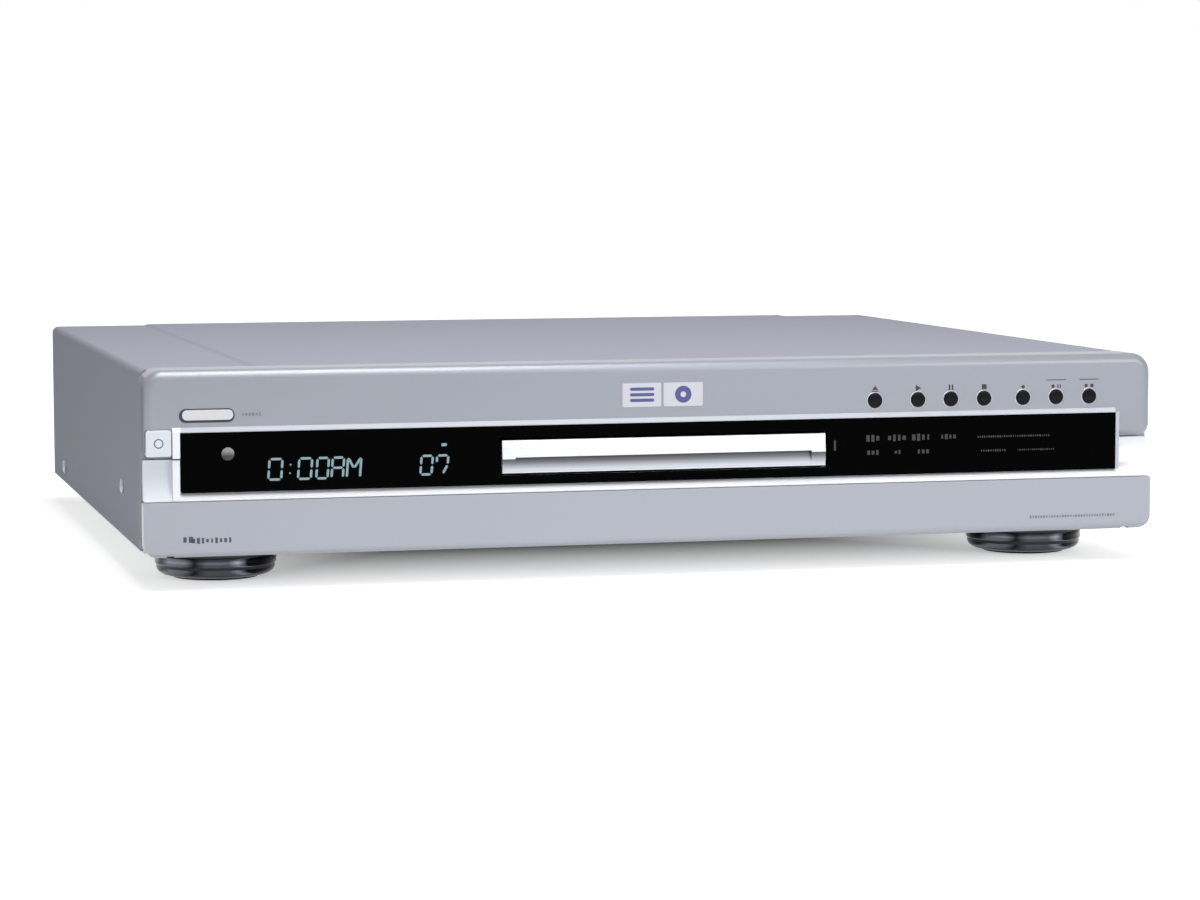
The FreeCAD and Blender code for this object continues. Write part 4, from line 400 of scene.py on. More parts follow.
def smoked_chrome(name, roughness):
    """Chrome on ABS with painted reflections: pale and dark upright patches, as a studio's cards would mirror in it,
    are painted into its colour by which way its surface faces.
    """
    made, tree, shader = fresh(name)
    facing = add(tree, "ShaderNodeTexCoord").outputs["Normal"]
    aside = add(tree, "ShaderNodeVectorMath", {0: facing, 1: (0.97, -0.25, 0.0)}, operation="DOT_PRODUCT")
    turn = add(tree, "ShaderNodeMapRange", {"Value": aside.outputs["Value"], "From Min": -1.0, "From Max": 1.0})
    painted_reflections = ramp(tree, turn.outputs["Result"], PAINTED_REFLECTION_BANDS)
    dark, pale = list(finishes().foot), list(finishes().ring)
    # Painted reflection: dark foot colour where the bands are dark, pale ring colour where they are pale.
    shade = add(tree, "ShaderNodeMix", {0: painted_reflections, 6: dark, 7: pale}, data_type="RGBA")
    relief = add(tree, "ShaderNodeBump", {"Height": grain(tree, 1.0 * MM), "Distance": 0.002 * MM})
    tree.links.new(shade.outputs[2], shader.inputs["Base Color"])
    tree.links.new(relief.outputs["Normal"], shader.inputs["Normal"])
    shader.inputs["Metallic"].default_value = 1.0
    shader.inputs["Roughness"].default_value = roughness
    return made


def rubber():
    """Moulded rubber: black, dull and faintly dusty."""
    return worked("moulded_rubber", finishes().rubber, 0.8, 0.6 * MM, 0.12, 0.01 * MM)


def board_laminate():
    """Solder mask on glass-fibre laminate: green, with tracks raised under it about half a millimetre wide."""
    made, tree, shader = fresh("solder_mask_on_laminate")
    place = add(tree, "ShaderNodeTexCoord").outputs["Object"]
    tracks = add(
        tree, "ShaderNodeTexBrick",
        {"Vector": place, "Color1": (1, 1, 1, 1), "Color2": (0.7, 0.7, 0.7, 1), "Mortar": (0, 0, 0, 1),
         "Scale": 1.0 / (6.0 * MM), "Mortar Size": 0.05, "Brick Width": 2.4, "Row Height": 0.25},
        offset=0.37,
    )
    shade = add(tree, "ShaderNodeMapRange", {"Value": tracks.outputs["Fac"], "To Min": 0.85, "To Max": 1.5})
    tint = add(tree, "ShaderNodeHueSaturation", {"Value": shade.outputs["Result"], "Color": list(finishes().board)})
    relief = add(tree, "ShaderNodeBump", {"Height": tracks.outputs["Fac"], "Distance": 0.03 * MM})
    tree.links.new(tint.outputs["Color"], shader.inputs["Base Color"])
    tree.links.new(relief.outputs["Normal"], shader.inputs["Normal"])
    shader.inputs["Roughness"].default_value = 0.35
    return made


def chip_epoxy():
    """Moulded epoxy of chips and ferrite: flat black-brown with a fine grain."""
    return worked("moulded_epoxy", linear("#1B1A19"), 0.6, 0.4 * MM, 0.08, 0.004 * MM)


def extruded_aluminium():
    """Extruded aluminium: light grey with die lines along the extrusion."""
    return worked(
        "extruded_aluminium", linear("#BFC1C4"), 0.35, 0.3 * MM, 0.04, 0.004 * MM,
        stretch=(1.0, 40.0, 1.0), sockets={"Metallic": 0.95},
    )


def winding():
    """Varnished copper wire, wound in turns about half a millimetre apart."""
    made, tree, shader = fresh("varnished_copper_winding")
    place = add(tree, "ShaderNodeTexCoord").outputs["Object"]
    turns = add(
        tree, "ShaderNodeTexWave", {"Vector": place, "Scale": 1.0 / (3.2 * MM), "Distortion": 0.4},
        bands_direction="Z",
    )
    shade = add(tree, "ShaderNodeMapRange", {"Value": turns.outputs["Fac"], "To Min": 0.6, "To Max": 1.1})
    tint = add(tree, "ShaderNodeHueSaturation", {"Value": shade.outputs["Result"], "Color": list(finishes().copper)})
    relief = add(tree, "ShaderNodeBump", {"Height": turns.outputs["Fac"], "Distance": 0.15 * MM})
    tree.links.new(tint.outputs["Color"], shader.inputs["Base Color"])
    tree.links.new(relief.outputs["Normal"], shader.inputs["Normal"])
    shader.inputs["Metallic"].default_value = 0.7
    shader.inputs["Roughness"].default_value = 0.35
    return made


def sleeve():
    """Shrunk vinyl sleeve of a capacitor: dark blue with a soft shine."""
    return worked("shrunk_vinyl_sleeve", linear("#1D2338"), 0.3, 1.5 * MM, 0.05, 0.004 * MM)


def lens_moulding(middle):
    """Polycarbonate lens of the remote sensor: dark below, with a painted highlight that makes its upper half pale."""
    made, tree, shader = fresh("moulded_polycarbonate")
    # Painted highlight: the colour runs from dark just under the lens's middle to pale grey above it.
    painted_shading = height_ramp(tree, middle - 0.8 * MM, middle + 1.2 * MM, ((0.0, "#15161A"), (1.0, "#A5A4A6")))
    tree.links.new(painted_shading, shader.inputs["Base Color"])
    shader.inputs["Roughness"].default_value = 0.3
    shader.inputs["IOR"].default_value = 1.58
    return made


def clear_glass():
    """Soda glass of the display tube: clear, with a slight green in its thickness."""
    return worked(
        "soda_glass", finishes().glass, 0.03, 4.0 * MM, 0.02, 0.0,
        sockets={"Transmission Weight": 1.0, "IOR": 1.52},
    )


def printed(name, base, roughness=0.5):
    """Screen-printed ink: flat and even, with the slight mottle of a mesh about a third of a millimetre fine."""
    return worked(name, base, roughness, 0.3 * MM, 0.03, 0.0)


def lit(name, base, strength):
    """Phosphor figures behind glass: they glow evenly, with a mottle from their grain."""
    made = worked(name, base, 0.5, 0.3 * MM, 0.03, 0.0)
    shader = made.node_tree.nodes["Principled BSDF"]
    shader.inputs["Emission Color"].default_value = list(base)
    shader.inputs["Emission Strength"].default_value = strength
    return made


def body_of(node):
    """Name of the body that carries a CAD node."""
    return frame["nodes"][node]["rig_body"]


def settle(piece, body, nodes=()):
    """Lets a finished piece ride on its body and stand for CAD nodes."""
    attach(piece, body)
    if nodes:
        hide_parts(*nodes)
    return piece


def from_work(name, work, materials, angle=SOFT_ANGLE):
    """Object from a bmesh, shaded round where its edges are flatter than angle."""
    mesh = bpy.data.meshes.new(name)
    work.to_mesh(mesh)
    work.free()
    mesh.shade_smooth()
    mesh.set_sharp_from_angle(angle=angle)
    for material in materials:
        mesh.materials.append(material)
    piece = bpy.data.objects.new(name, mesh)
    bpy.context.scene.collection.objects.link(piece)
    return piece


def round_edges(piece, width, segments=2):
    """Rounds the sharp edges of a piece and lets its flat faces stay flat in the light."""
    bevel = piece.modifiers.new("round", "BEVEL")
    bevel.width = width
    bevel.segments = segments
    bevel.limit_method = "ANGLE"
    bevel.angle_limit = math.radians(40)
    bevel.use_clamp_overlap = True
    bevel.harden_normals = True
    return piece


def skin(node, materials, pick=None, width=0.0, cut=None):
    """A welded copy of a CAD node that stands for it, with rounded edges.

    pick gives the material's number from a face's middle and normal. Faces are split along X = cut before it.
    """
    work = bmesh.new()
    work.from_mesh(frame["nodes"][node].data)
    bmesh.ops.remove_doubles(work, verts=work.verts, dist=WELD)
    bmesh.ops.dissolve_limit(work, angle_limit=FLAT, verts=work.verts, edges=work.edges)
    if cut is not None:
        every = work.verts[:] + work.edges[:] + work.faces[:]
        bmesh.ops.bisect_plane(work, geom=every, plane_co=(cut, 0, 0), plane_no=(1, 0, 0))
    if pick:
        for face in work.faces:
            face.material_index = pick(face.calc_center_median(), face.normal)
    piece = from_work(node + "_skin", work, materials)
    if width:
        round_edges(piece, width)
    return settle(piece, body_of(node), [node])


def solid_boxes(node):
    """Lowest and highest corner of each separate solid of a CAD node, in order of place."""
    work = bmesh.new()
    work.from_mesh(frame["nodes"][node].data)
    bmesh.ops.remove_doubles(work, verts=work.verts, dist=WELD)
    left = set(work.verts)
    boxes = []
    while left:
        group = [left.pop()]
        for vert in group:
            for edge in vert.link_edges:
                other = edge.other_vert(vert)
                if other in left:
                    left.remove(other)
                    group.append(other)
        low = Vector([min(v.co[k] for v in group) for k in range(3)])
        high = Vector([max(v.co[k] for v in group) for k in range(3)])
        boxes.append((low, high))
    work.free()
    return sorted(boxes, key=lambda pair: [round(value, 4) for value in pair[0]])


def dress(node, material):
    """Gives a CAD node that keeps its own mesh a finish."""
    mesh = frame["nodes"][node].data
    mesh.materials.clear()
    mesh.materials.append(material)


def lathe(work, profile, place, steps=40):
    """Adds a closed solid of revolution: (radius, height) points from axis to axis, moved by the matrix place."""
    rings = []
    for radius, height in profile:
        if radius < WELD:
            rings.append([work.verts.new(place @ Vector((0, 0, height)))])
            continue
        angles = [2 * math.pi * k / steps for k in range(steps)]
        rings.append([work.verts.new(place @ Vector((radius * math.cos(a), radius * math.sin(a), height))) for a in angles])
    for low, high in zip(rings, rings[1:]):
        for k in range(steps):
            after = (k + 1) % steps
            corners = [low[k % len(low)], low[after % len(low)], high[after % len(high)], high[k % len(high)]]
            work.faces.new(list(dict.fromkeys(corners)))
    bmesh.ops.recalc_face_normals(work, faces=work.faces)


def tile(work, outline, front, back):
    """Adds a prism along Y from an outline of (x, z) points."""
    near = [work.verts.new((x, front, z)) for x, z in outline]
    far = [work.verts.new((x, back, z)) for x, z in outline]
    work.faces.new(near)
    work.faces.new(reversed(far))
    for k in range(len(outline)):
        after = (k + 1) % len(outline)
        work.faces.new((near[k], far[k], far[after], near[after]))
    bmesh.ops.recalc_face_normals(work, faces=work.faces)


def rounded(x, z, radius, steps=6):
    """Outline of a rectangle with round corners."""
    corners = [(x[1] - radius, z[0] + radius, -90), (x[1] - radius, z[1] - radius, 0),
               (x[0] + radius, z[1] - radius, 90), (x[0] + radius, z[0] + radius, 180)]
    outline = []
    for cx, cz, start in corners:
        for k in range(steps + 1):
            angle = math.radians(start + 90 * k / steps)
            outline.append((cx + radius * math.cos(angle), cz + radius * math.sin(angle)))
    return outline


def bar(start, end, width):
    """Outline of a straight bar with pointed ends, as one segment of a figure."""
    a, b = Vector(start), Vector(end)
    along = (b - a).normalized()
    side = Vector((-along.y, along.x)) * width / 2
    tip = along * width / 2
    points = [a, a + tip + side, b - tip + side, b, b - tip - side, a + tip - side]
    return [tuple(p) for p in points]


def facing_points(name, places):
    """Mesh of loose points, each with the direction in which its piece looks."""
    mesh = bpy.data.meshes.new(name)
    mesh.from_pydata([tuple(p) for p, _ in places], [], [])
    facing = mesh.attributes.new("facing", "FLOAT_VECTOR", "POINT")
    for k, (_, direction) in enumerate(places):
        facing.data[k].vector = direction
    return mesh


def tree_with(name, inputs):
    """Empty geometry tree with named inputs of (name, socket type) and one geometry output."""
    tree = bpy.data.node_groups.new(name, "GeometryNodeTree")
    tree.interface.new_socket("Geometry", in_out="INPUT", socket_type="NodeSocketGeometry")
    for label, kind in inputs:
        tree.interface.new_socket(label, in_out="INPUT", socket_type=kind)
    tree.interface.new_socket("Geometry", in_out="OUTPUT", socket_type="NodeSocketGeometry")
    return tree, add(tree, "NodeGroupInput").outputs


def finish_tree(tree, instances, finish):
    """Ends a tree: real meshes, with their finish."""
    real = add(tree, "GeometryNodeRealizeInstances", {"Geometry": instances})
    painted = add(tree, "GeometryNodeSetMaterial", {"Geometry": real.outputs["Geometry"], "Material": finish})
    add(tree, "NodeGroupOutput", {"Geometry": painted.outputs["Geometry"]})
    return tree


def repeat_tree():
    """One pattern piece on every point, turned to look the point's way."""
    tree, given = tree_with("repeat_on_points", [("Pattern", "NodeSocketObject"), ("Finish", "NodeSocketMaterial")])
    pattern = add(tree, "GeometryNodeObjectInfo", {"Object": given["Pattern"]})
    facing = add(tree, "GeometryNodeInputNamedAttribute", {"Name": "facing"}, data_type="FLOAT_VECTOR")
    turn = add(tree, "FunctionNodeAlignRotationToVector", {"Vector": facing.outputs["Attribute"]}, axis="Z")
    copies = add(
        tree, "GeometryNodeInstanceOnPoints",
        {"Points": given["Geometry"], "Instance": pattern.outputs["Geometry"], "Rotation": turn.outputs["Rotation"]},
    )
    return finish_tree(tree, copies.outputs["Instances"], given["Finish"])


def dash_tree():
    """A row of flat strokes of uneven size along X, as a line of small print looks from a step away."""
    wanted = [("Count", "NodeSocketInt"), ("Pitch", "NodeSocketFloat"), ("Size", "NodeSocketVector"),
              ("Start", "NodeSocketVector"), ("Seed", "NodeSocketInt"), ("Finish", "NodeSocketMaterial")]
    tree, given = tree_with("row_of_dashes", wanted)
    step = add(tree, "ShaderNodeCombineXYZ", {"X": given["Pitch"]})
    row = add(
        tree, "GeometryNodeMeshLine",
        {"Count": given["Count"], "Start Location": given["Start"], "Offset": step.outputs["Vector"]},
    )
    dash = add(tree, "GeometryNodeMeshCube", {"Size": given["Size"]})
    uneven = add(tree, "FunctionNodeRandomValue", {"Min": (0.5, 1, 0.55), "Max": (1, 1, 1), "Seed": given["Seed"]}, data_type="FLOAT_VECTOR")
    copies = add(
        tree, "GeometryNodeInstanceOnPoints",
        {"Points": row.outputs["Mesh"], "Instance": dash.outputs["Mesh"], "Scale": uneven.outputs["Value"]},
    )
    return finish_tree(tree, copies.outputs["Instances"], given["Finish"])


def thread_tree():
    """A screw thread: a round wire along a spiral about Z, from Start."""
    wanted = [("Radius", "NodeSocketFloat"), ("Turns", "NodeSocketFloat"), ("Height", "NodeSocketFloat"),
              ("Wire", "NodeSocketFloat"), ("Start", "NodeSocketVector"), ("Turn", "NodeSocketVector"),
              ("Finish", "NodeSocketMaterial")]
    tree, given = tree_with("screw_thread", wanted)
    spiral = add(
        tree, "GeometryNodeCurveSpiral",
        {"Resolution": 20, "Rotations": given["Turns"], "Start Radius": given["Radius"],
         "End Radius": given["Radius"], "Height": given["Height"]},
    )
    section = add(tree, "GeometryNodeCurvePrimitiveCircle", {"Resolution": 6, "Radius": given["Wire"]})
    wire = add(
        tree, "GeometryNodeCurveToMesh",
        {"Curve": spiral.outputs["Curve"], "Profile Curve": section.outputs["Curve"], "Fill Caps": True},
    )
    laid = add(
        tree, "GeometryNodeTransform",
        {"Geometry": wire.outputs["Mesh"], "Translation": given["Start"], "Rotation": given["Turn"]},
    )
    return finish_tree(tree, laid.outputs["Geometry"], given["Finish"])


def grown(name, tree, values, mesh=None):
    """Runs a geometry tree on a mesh and returns the result as a plain object."""
    seed = bpy.data.objects.new(name + "_seed", mesh or bpy.data.meshes.new(name + "_seed"))
    bpy.context.scene.collection.objects.link(seed)
    modifier = seed.modifiers.new("grow", "NODES")
    modifier.node_group = tree
    for item in tree.interface.items_tree:
        if item.in_out == "INPUT" and item.name in values:
            modifier[item.identifier] = values[item.name]
    bpy.context.view_layer.update()
    seen = seed.evaluated_get(bpy.context.evaluated_depsgraph_get())
    result = bpy.data.meshes.new_from_object(seen)
    seed.modifiers.remove(modifier)
    bpy.data.objects.remove(seed)
    result.name = name
    result.shade_smooth()
    result.set_sharp_from_angle(angle=SOFT_ANGLE)
    piece = bpy.data.objects.new(name, result)
    bpy.context.scene.collection.objects.link(piece)
    return piece


def repeated(name, pattern, places, finish):
    """The pattern object at every place of (point, direction), as one piece; the pattern itself goes away."""
    piece = grown(name, repeat_tree(), {"Pattern": pattern, "Finish": finish}, facing_points(name, places))
    bpy.data.objects.remove(pattern)
    return piece


def front_ward(x, z, y=None):
    """Place on the front face with +Z of the pattern turned towards the viewer."""
    at = Vector((x, FACE if y is None else y, z))
    return Matrix.Translation(at) @ Matrix.Rotation(math.radians(90), 4, "X")


BUTTONS = ("open_close_button", "play_button", "pause_button", "stop_button",
           "record_button", "record_pause_button", "record_stop_button")


def button_middle(node):
    """Middle of a button's cap in the front view, as (x, z), and its radius."""
    mesh = frame["nodes"][node].data
    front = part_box(node)[0].y
    cap = [v.co for v in mesh.vertices if v.co.y < front + 0.01 * MM]
    xs = [p.x for p in cap]
    zs = [p.z for p in cap]
    return (min(xs) + max(xs)) / 2, (min(zs) + max(zs)) / 2, (max(xs) - min(xs)) / 2


def make_front():
    """Front moulding, the bright trim round its window and a chamfered ring round each button."""
    settings = sizes()
    paints = [silver_lacquer(), end_lacquer()]
    # The panel's end faces take the lighter copy of the lacquer, which is painted light.
    skin("front_panel", paints, lambda c, n: int(abs(n.x) > 0.8), settings.mould_round)
    # Painted shade: the trim right of its left upright takes a darker copy of the foil.
    trims = [light_trim("satin_foil_on_window_trim", finishes().window_trim), light_trim()]
    edge = WINDOW_LOW.x
    skin("window_surround", trims, lambda c, n: int(c.x < edge), 0.08 * MM, edge)
    radius = button_middle(BUTTONS[0])[2] + 0.15 * MM
    ring = bmesh.new()
    profile = [(radius, -0.3 * MM), (radius + settings.surround, -0.3 * MM),
               (radius + settings.surround, 0.02 * MM), (radius + 0.7 * settings.surround, 0.12 * MM),
               (radius, -0.12 * MM), (radius, -0.3 * MM)]
    lathe(ring, profile, Matrix.Identity(4), 36)
    pattern = from_work("surround_pattern", ring, [])
    places = []
    for node in BUTTONS:
        x, z, _ = button_middle(node)
        places.append((Vector((x, FACE, z)), Vector((0, -1, 0))))
    rings = repeated("button_surrounds", pattern, places, light_trim())
    settle(rings, body_of("front_panel"))


def make_flap():
    """Drop-down flap and the steel pins that it turns on."""
    # Painted light: the flap takes a lighter copy of the front's lacquer.
    paint = silver_lacquer("silver_lacquer_on_flap", finishes().flap_paint)
    skin("front_flap", [paint], width=sizes().mould_round)
    skin("flap_hinge_pins", [nickel()])


def make_sill():
    """Bright bar with a hollow slope under the window, its lip over the flap and the upright left of the window."""
    edge = WINDOW_LOW.x - 0.6 * MM
    # Painted shade: the sill's part left of the window takes the darker power button foil.
    foils = [light_trim(), light_trim("satin_foil_on_button", finishes().power_trim)]
    skin("sill_trim", foils, lambda c, n: int(c.x < edge), 0.15 * MM, edge)
    low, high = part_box("sill_trim")
    settings = sizes()
    work = bmesh.new()
    front = FACE + settings.lip_back
    tile(work, [(low.x, low.z - settings.lip), (high.x, low.z - settings.lip), (high.x, low.z + 0.1 * MM),
                (low.x, low.z + 0.1 * MM)], front, low.y + 1.0 * MM)
    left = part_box("window_surround")[0].x
    right = WINDOW_LOW.x - 0.2 * MM
    tile(work, [(left, low.z + 0.1 * MM), (right, low.z + 0.1 * MM), (right, high.z), (left, high.z)],
         FACE + 0.1 * MM, low.y + 3.4 * MM)
    edging = round_edges(from_work("sill_edging", work, [light_trim()]), 0.08 * MM)
    settle(edging, body_of("sill_trim"))


STROKES = {
    "0": [((0, 0), (1, 0)), ((1, 0), (1, 0.5)), ((1, 0.5), (1, 1)), ((1, 1), (0, 1)), ((0, 1), (0, 0.5)), ((0, 0.5), (0, 0))],
    "7": [((0, 0.6), (0, 1)), ((0, 1), (1, 1)), ((1, 1), (1, 0.5)), ((1, 0.5), (0.6, 0))],
    "A": [((0, 0), (0, 0.5)), ((0, 0.5), (0, 1)), ((0, 1), (1, 1)), ((1, 1), (1, 0.5)), ((1, 0.5), (1, 0)), ((0, 0.5), (1, 0.5))],
    "M": [((0, 0), (0, 1)), ((0, 1), (0.5, 0.45)), ((0.5, 0.45), (1, 1)), ((1, 1), (1, 0))],
    ":": [((0.5, 0.2), (0.5, 0.38)), ((0.5, 0.62), (0.5, 0.8))],
}


def figure(work, sign, x, z, width, height, y, lean=0.08):
    """Adds one lit figure; x is its left side, z its lower edge."""
    thick = sizes().digit_bar
    gap = 0.07 * height
    for start, end in STROKES[sign]:
        ends = []
        for u, v in (start, end):
            ends.append(Vector((x + u * width + lean * v * height, z + v * height)))
        along = (ends[1] - ends[0]).normalized() * gap / 2
        outline = bar(ends[0] + along, ends[1] - along, thick)
        tile(work, outline, y - sizes().print_thick, y + sizes().print_thick)


def print_row(name, strokes, place, wide, tall, ink, body):
    """Lays a row of fine strokes; place gives x, the face's y and the height over the panel's lower edge."""
    pitch = 0.55 * tall + 0.5
    values = {
        "Count": max(2, int(wide / pitch)), "Pitch": pitch * MM, "Seed": int(10 * place[0]) % 97, "Finish": ink,
        "Size": (0.72 * pitch * MM, sizes().print_thick, tall * MM),
        "Start": ((place[0] + pitch / 2) * MM, place[1], PANEL_LOW + place[2] * MM),
    }
    return settle(grown(name, strokes, values), body)


def make_window():
    """Acrylic window, the display's lit figures, the remote sensor's lens and the grey print beside the tray."""
    skin("display_window", [acrylic()], width=0.12 * MM)
    y = WINDOW_LOW.y
    root = body_of("display_window")
    height = sizes().digit_height
    low = PANEL_LOW + 30.6 * MM
    clock = bmesh.new()
    for sign, x, width in (("0", -165.0, 5.2), (":", -157.6, 2.4), ("0", -153.0, 5.2), ("0", -145.6, 4.6),
                           ("A", -139.4, 4.6), ("M", -133.2, 5.4)):
        figure(clock, sign, x * MM, low, width * MM, height, y)
    for sign, x in (("0", -103.0), ("7", -96.6)):
        figure(clock, sign, x * MM, low + 0.5 * MM, 4.6 * MM, 0.92 * height, y)
    tile(clock, rounded((-94.2 * MM, -92.0 * MM), (PANEL_LOW + 42.4 * MM, PANEL_LOW + 43.6 * MM), 0.4 * MM),
         y - sizes().print_thick, y)
    figures = from_work("display_figures", clock, [lit("lit_phosphor", finishes().glow, 0.22)])
    settle(figures, root)
    lens = bmesh.new()
    profile = [(0, -0.1 * MM), (2.6 * MM, -0.1 * MM)]
    for k in range(7):
        turn = math.radians(90 * k / 6)
        profile.append((2.6 * MM * math.cos(turn), 0.25 * MM * math.sin(turn)))
    centre = PANEL_LOW + 41.3 * MM
    lathe(lens, profile[:-1] + [(0, 0.25 * MM)], front_ward(-181.1 * MM, centre, y), 32)
    # The lens's pale upper half is a painted highlight.
    eye = from_work("sensor_lens", lens, [lens_moulding(centre)])
    settle(eye, root)
    ink = printed("grey_ink", finishes().print_grey)
    strokes = dash_tree()
    words = [(86.6, 8.2, 41.4, 3.0), (96.1, 9.6, 41.4, 3.0), (106.8, 8.8, 41.4, 3.0), (119.6, 8.4, 41.4, 2.4),
             (87.0, 7.4, 35.4, 2.6), (99.2, 4.8, 35.4, 2.0), (109.2, 7.6, 35.4, 2.6),
             (136.0, 33.8, 41.0, 0.9), (137.6, 11.6, 35.1, 1.0), (154.0, 17.0, 35.1, 0.8)]
    for k, (x, wide, z, tall) in enumerate(words):
        print_row(f"window_print_{k + 1}", strokes, (x, y, z), wide, tall, ink, root)
    mark = bmesh.new()
    tile(mark, rounded((72.7 * MM, 73.6 * MM), (PANEL_LOW + 36.6 * MM, PANEL_LOW + 41.0 * MM), 0.3 * MM), y - sizes().print_thick, y)
    settle(from_work("tray_mark", mark, [ink]), root)


def make_tray():
    """Bright bar with its finger scoop on the tray's end, and the tray behind it."""
    low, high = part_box("tray_front")
    ledge = (low.z + high.z) / 2
    sill = low.z + 1.3 * MM

    def in_scoop(middle, normal):
        inside = low.x + 5.0 * MM < middle.x < high.x - 5.8 * MM and sill - 0.3 * MM < middle.z < ledge
        return int(inside and middle.y > low.y + 0.2 * MM and middle.y < low.y + 2.2 * MM)

    # The scoop's faces take the foil with painted shade under the ledge.
    skin("tray_front", [tray_face(), scoop_face(sill, ledge)], in_scoop, width=0.12 * MM)
    skin("disc_tray", [black_moulding()], width=sizes().part_round)


def symbol(work, kind, x, z, y, size):
    """Adds one transport symbol over a button; x and z are its middle, size half its height."""
    thick = sizes().print_thick
    half = size

    def part(outline):
        tile(work, [(x + u * half, z + v * half) for u, v in outline], y - thick, y + 0.02 * MM)

    def square(u, v, wide, tall):
        part([(u - wide, v - tall), (u + wide, v - tall), (u + wide, v + tall), (u - wide, v + tall)])

    def dot(u):
        part([(u + 0.75 * math.cos(a), 0.75 * math.sin(a)) for a in (math.pi * k / 8 for k in range(16))])

    if kind == "open_close_button":
        part([(-1, -0.3), (1, -0.3), (0, 1)])
        square(0, -0.75, 1, 0.2)
    elif kind == "play_button":
        part([(-0.8, -1), (1, 0), (-0.8, 1)])
    elif kind == "pause_button":
        square(-0.5, 0, 0.25, 0.9)
        square(0.5, 0, 0.25, 0.9)
    elif kind == "stop_button":
        square(0, 0, 0.8, 0.8)
    elif kind == "record_button":
        dot(0)
    elif kind == "record_pause_button":
        dot(-1.4)
        square(0.8, 0, 0.25, 0.75)
        square(1.8, 0, 0.25, 0.75)
    else:
        dot(-1.4)
        square(1.2, 0, 0.7, 0.7)


def make_buttons():
    """Seven domed caps with their symbols, and the power button with its ring mark."""
    settings = sizes()
    signs = bmesh.new()
    for node in BUTTONS:
        x, z, radius = button_middle(node)
        low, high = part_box(node)
        proud = FACE - low.y
        work = bmesh.new()
        profile = [(0, -2.4 * MM), (radius, -2.4 * MM), (radius, proud - 0.5 * MM)]
        steps = 8
        for k in range(steps + 1):
            turn = math.radians(90 * k / steps)
            profile.append((radius - 0.5 * MM + 0.5 * MM * math.cos(turn), proud - 0.5 * MM + 0.38 * MM * math.sin(turn)))
        profile += [(0.5 * radius, proud - 0.03 * MM), (0, proud)]
        lathe(work, profile, front_ward(x, z), 44)
        stem = bmesh.ops.create_cube(work, size=1.0)["verts"]
        bmesh.ops.scale(work, vec=(2 * MM, high.y - FACE - 2.4 * MM, 2 * MM), verts=stem)
        bmesh.ops.translate(work, vec=(x, (high.y + FACE + 2.4 * MM) / 2, z), verts=stem)
        flange = bmesh.ops.create_cube(work, size=1.0)["verts"]
        bmesh.ops.scale(work, vec=(high.x - low.x, 1 * MM, high.z - low.z), verts=flange)
        bmesh.ops.translate(work, vec=(x, FACE + 3.3 * MM, z), verts=flange)
        cap = from_work(node + "_cap", work, [gloss_moulding()])
        settle(cap, body_of(node), [node])
        paired = node.startswith("record_")
        size = settings.sign * (0.75 if paired else 1.0)
        symbol(signs, node, x, z + radius + 0.5 * MM + size, FACE, size)
        if paired and node != "record_button":
            tile(signs, [(x - 4.4 * MM, z + 7.0 * MM), (x + 4.4 * MM, z + 7.0 * MM), (x + 4.4 * MM, z + 7.35 * MM),
                         (x - 4.4 * MM, z + 7.35 * MM)], FACE - settings.print_thick, FACE + 0.02 * MM)
    ink = printed("dark_ink", finishes().print_dark)
    settle(from_work("button_symbols", signs, [ink]), body_of("front_panel"))
    skin("power_button", [light_trim("satin_foil_on_button", finishes().power_trim)], width=0.3 * MM)
    middle_x, middle_z, _ = button_middle("power_button")
    ring = bmesh.new()
    place = front_ward(middle_x, middle_z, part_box("power_button")[0].y)
    lathe(ring, [(1.5 * MM, -0.05 * MM), (1.9 * MM, -0.05 * MM), (1.9 * MM, 0.04 * MM), (1.5 * MM, 0.04 * MM), (1.5 * MM, -0.05 * MM)], place, 32)
    settle(from_work("power_mark", ring, [ink]), body_of("power_button"))


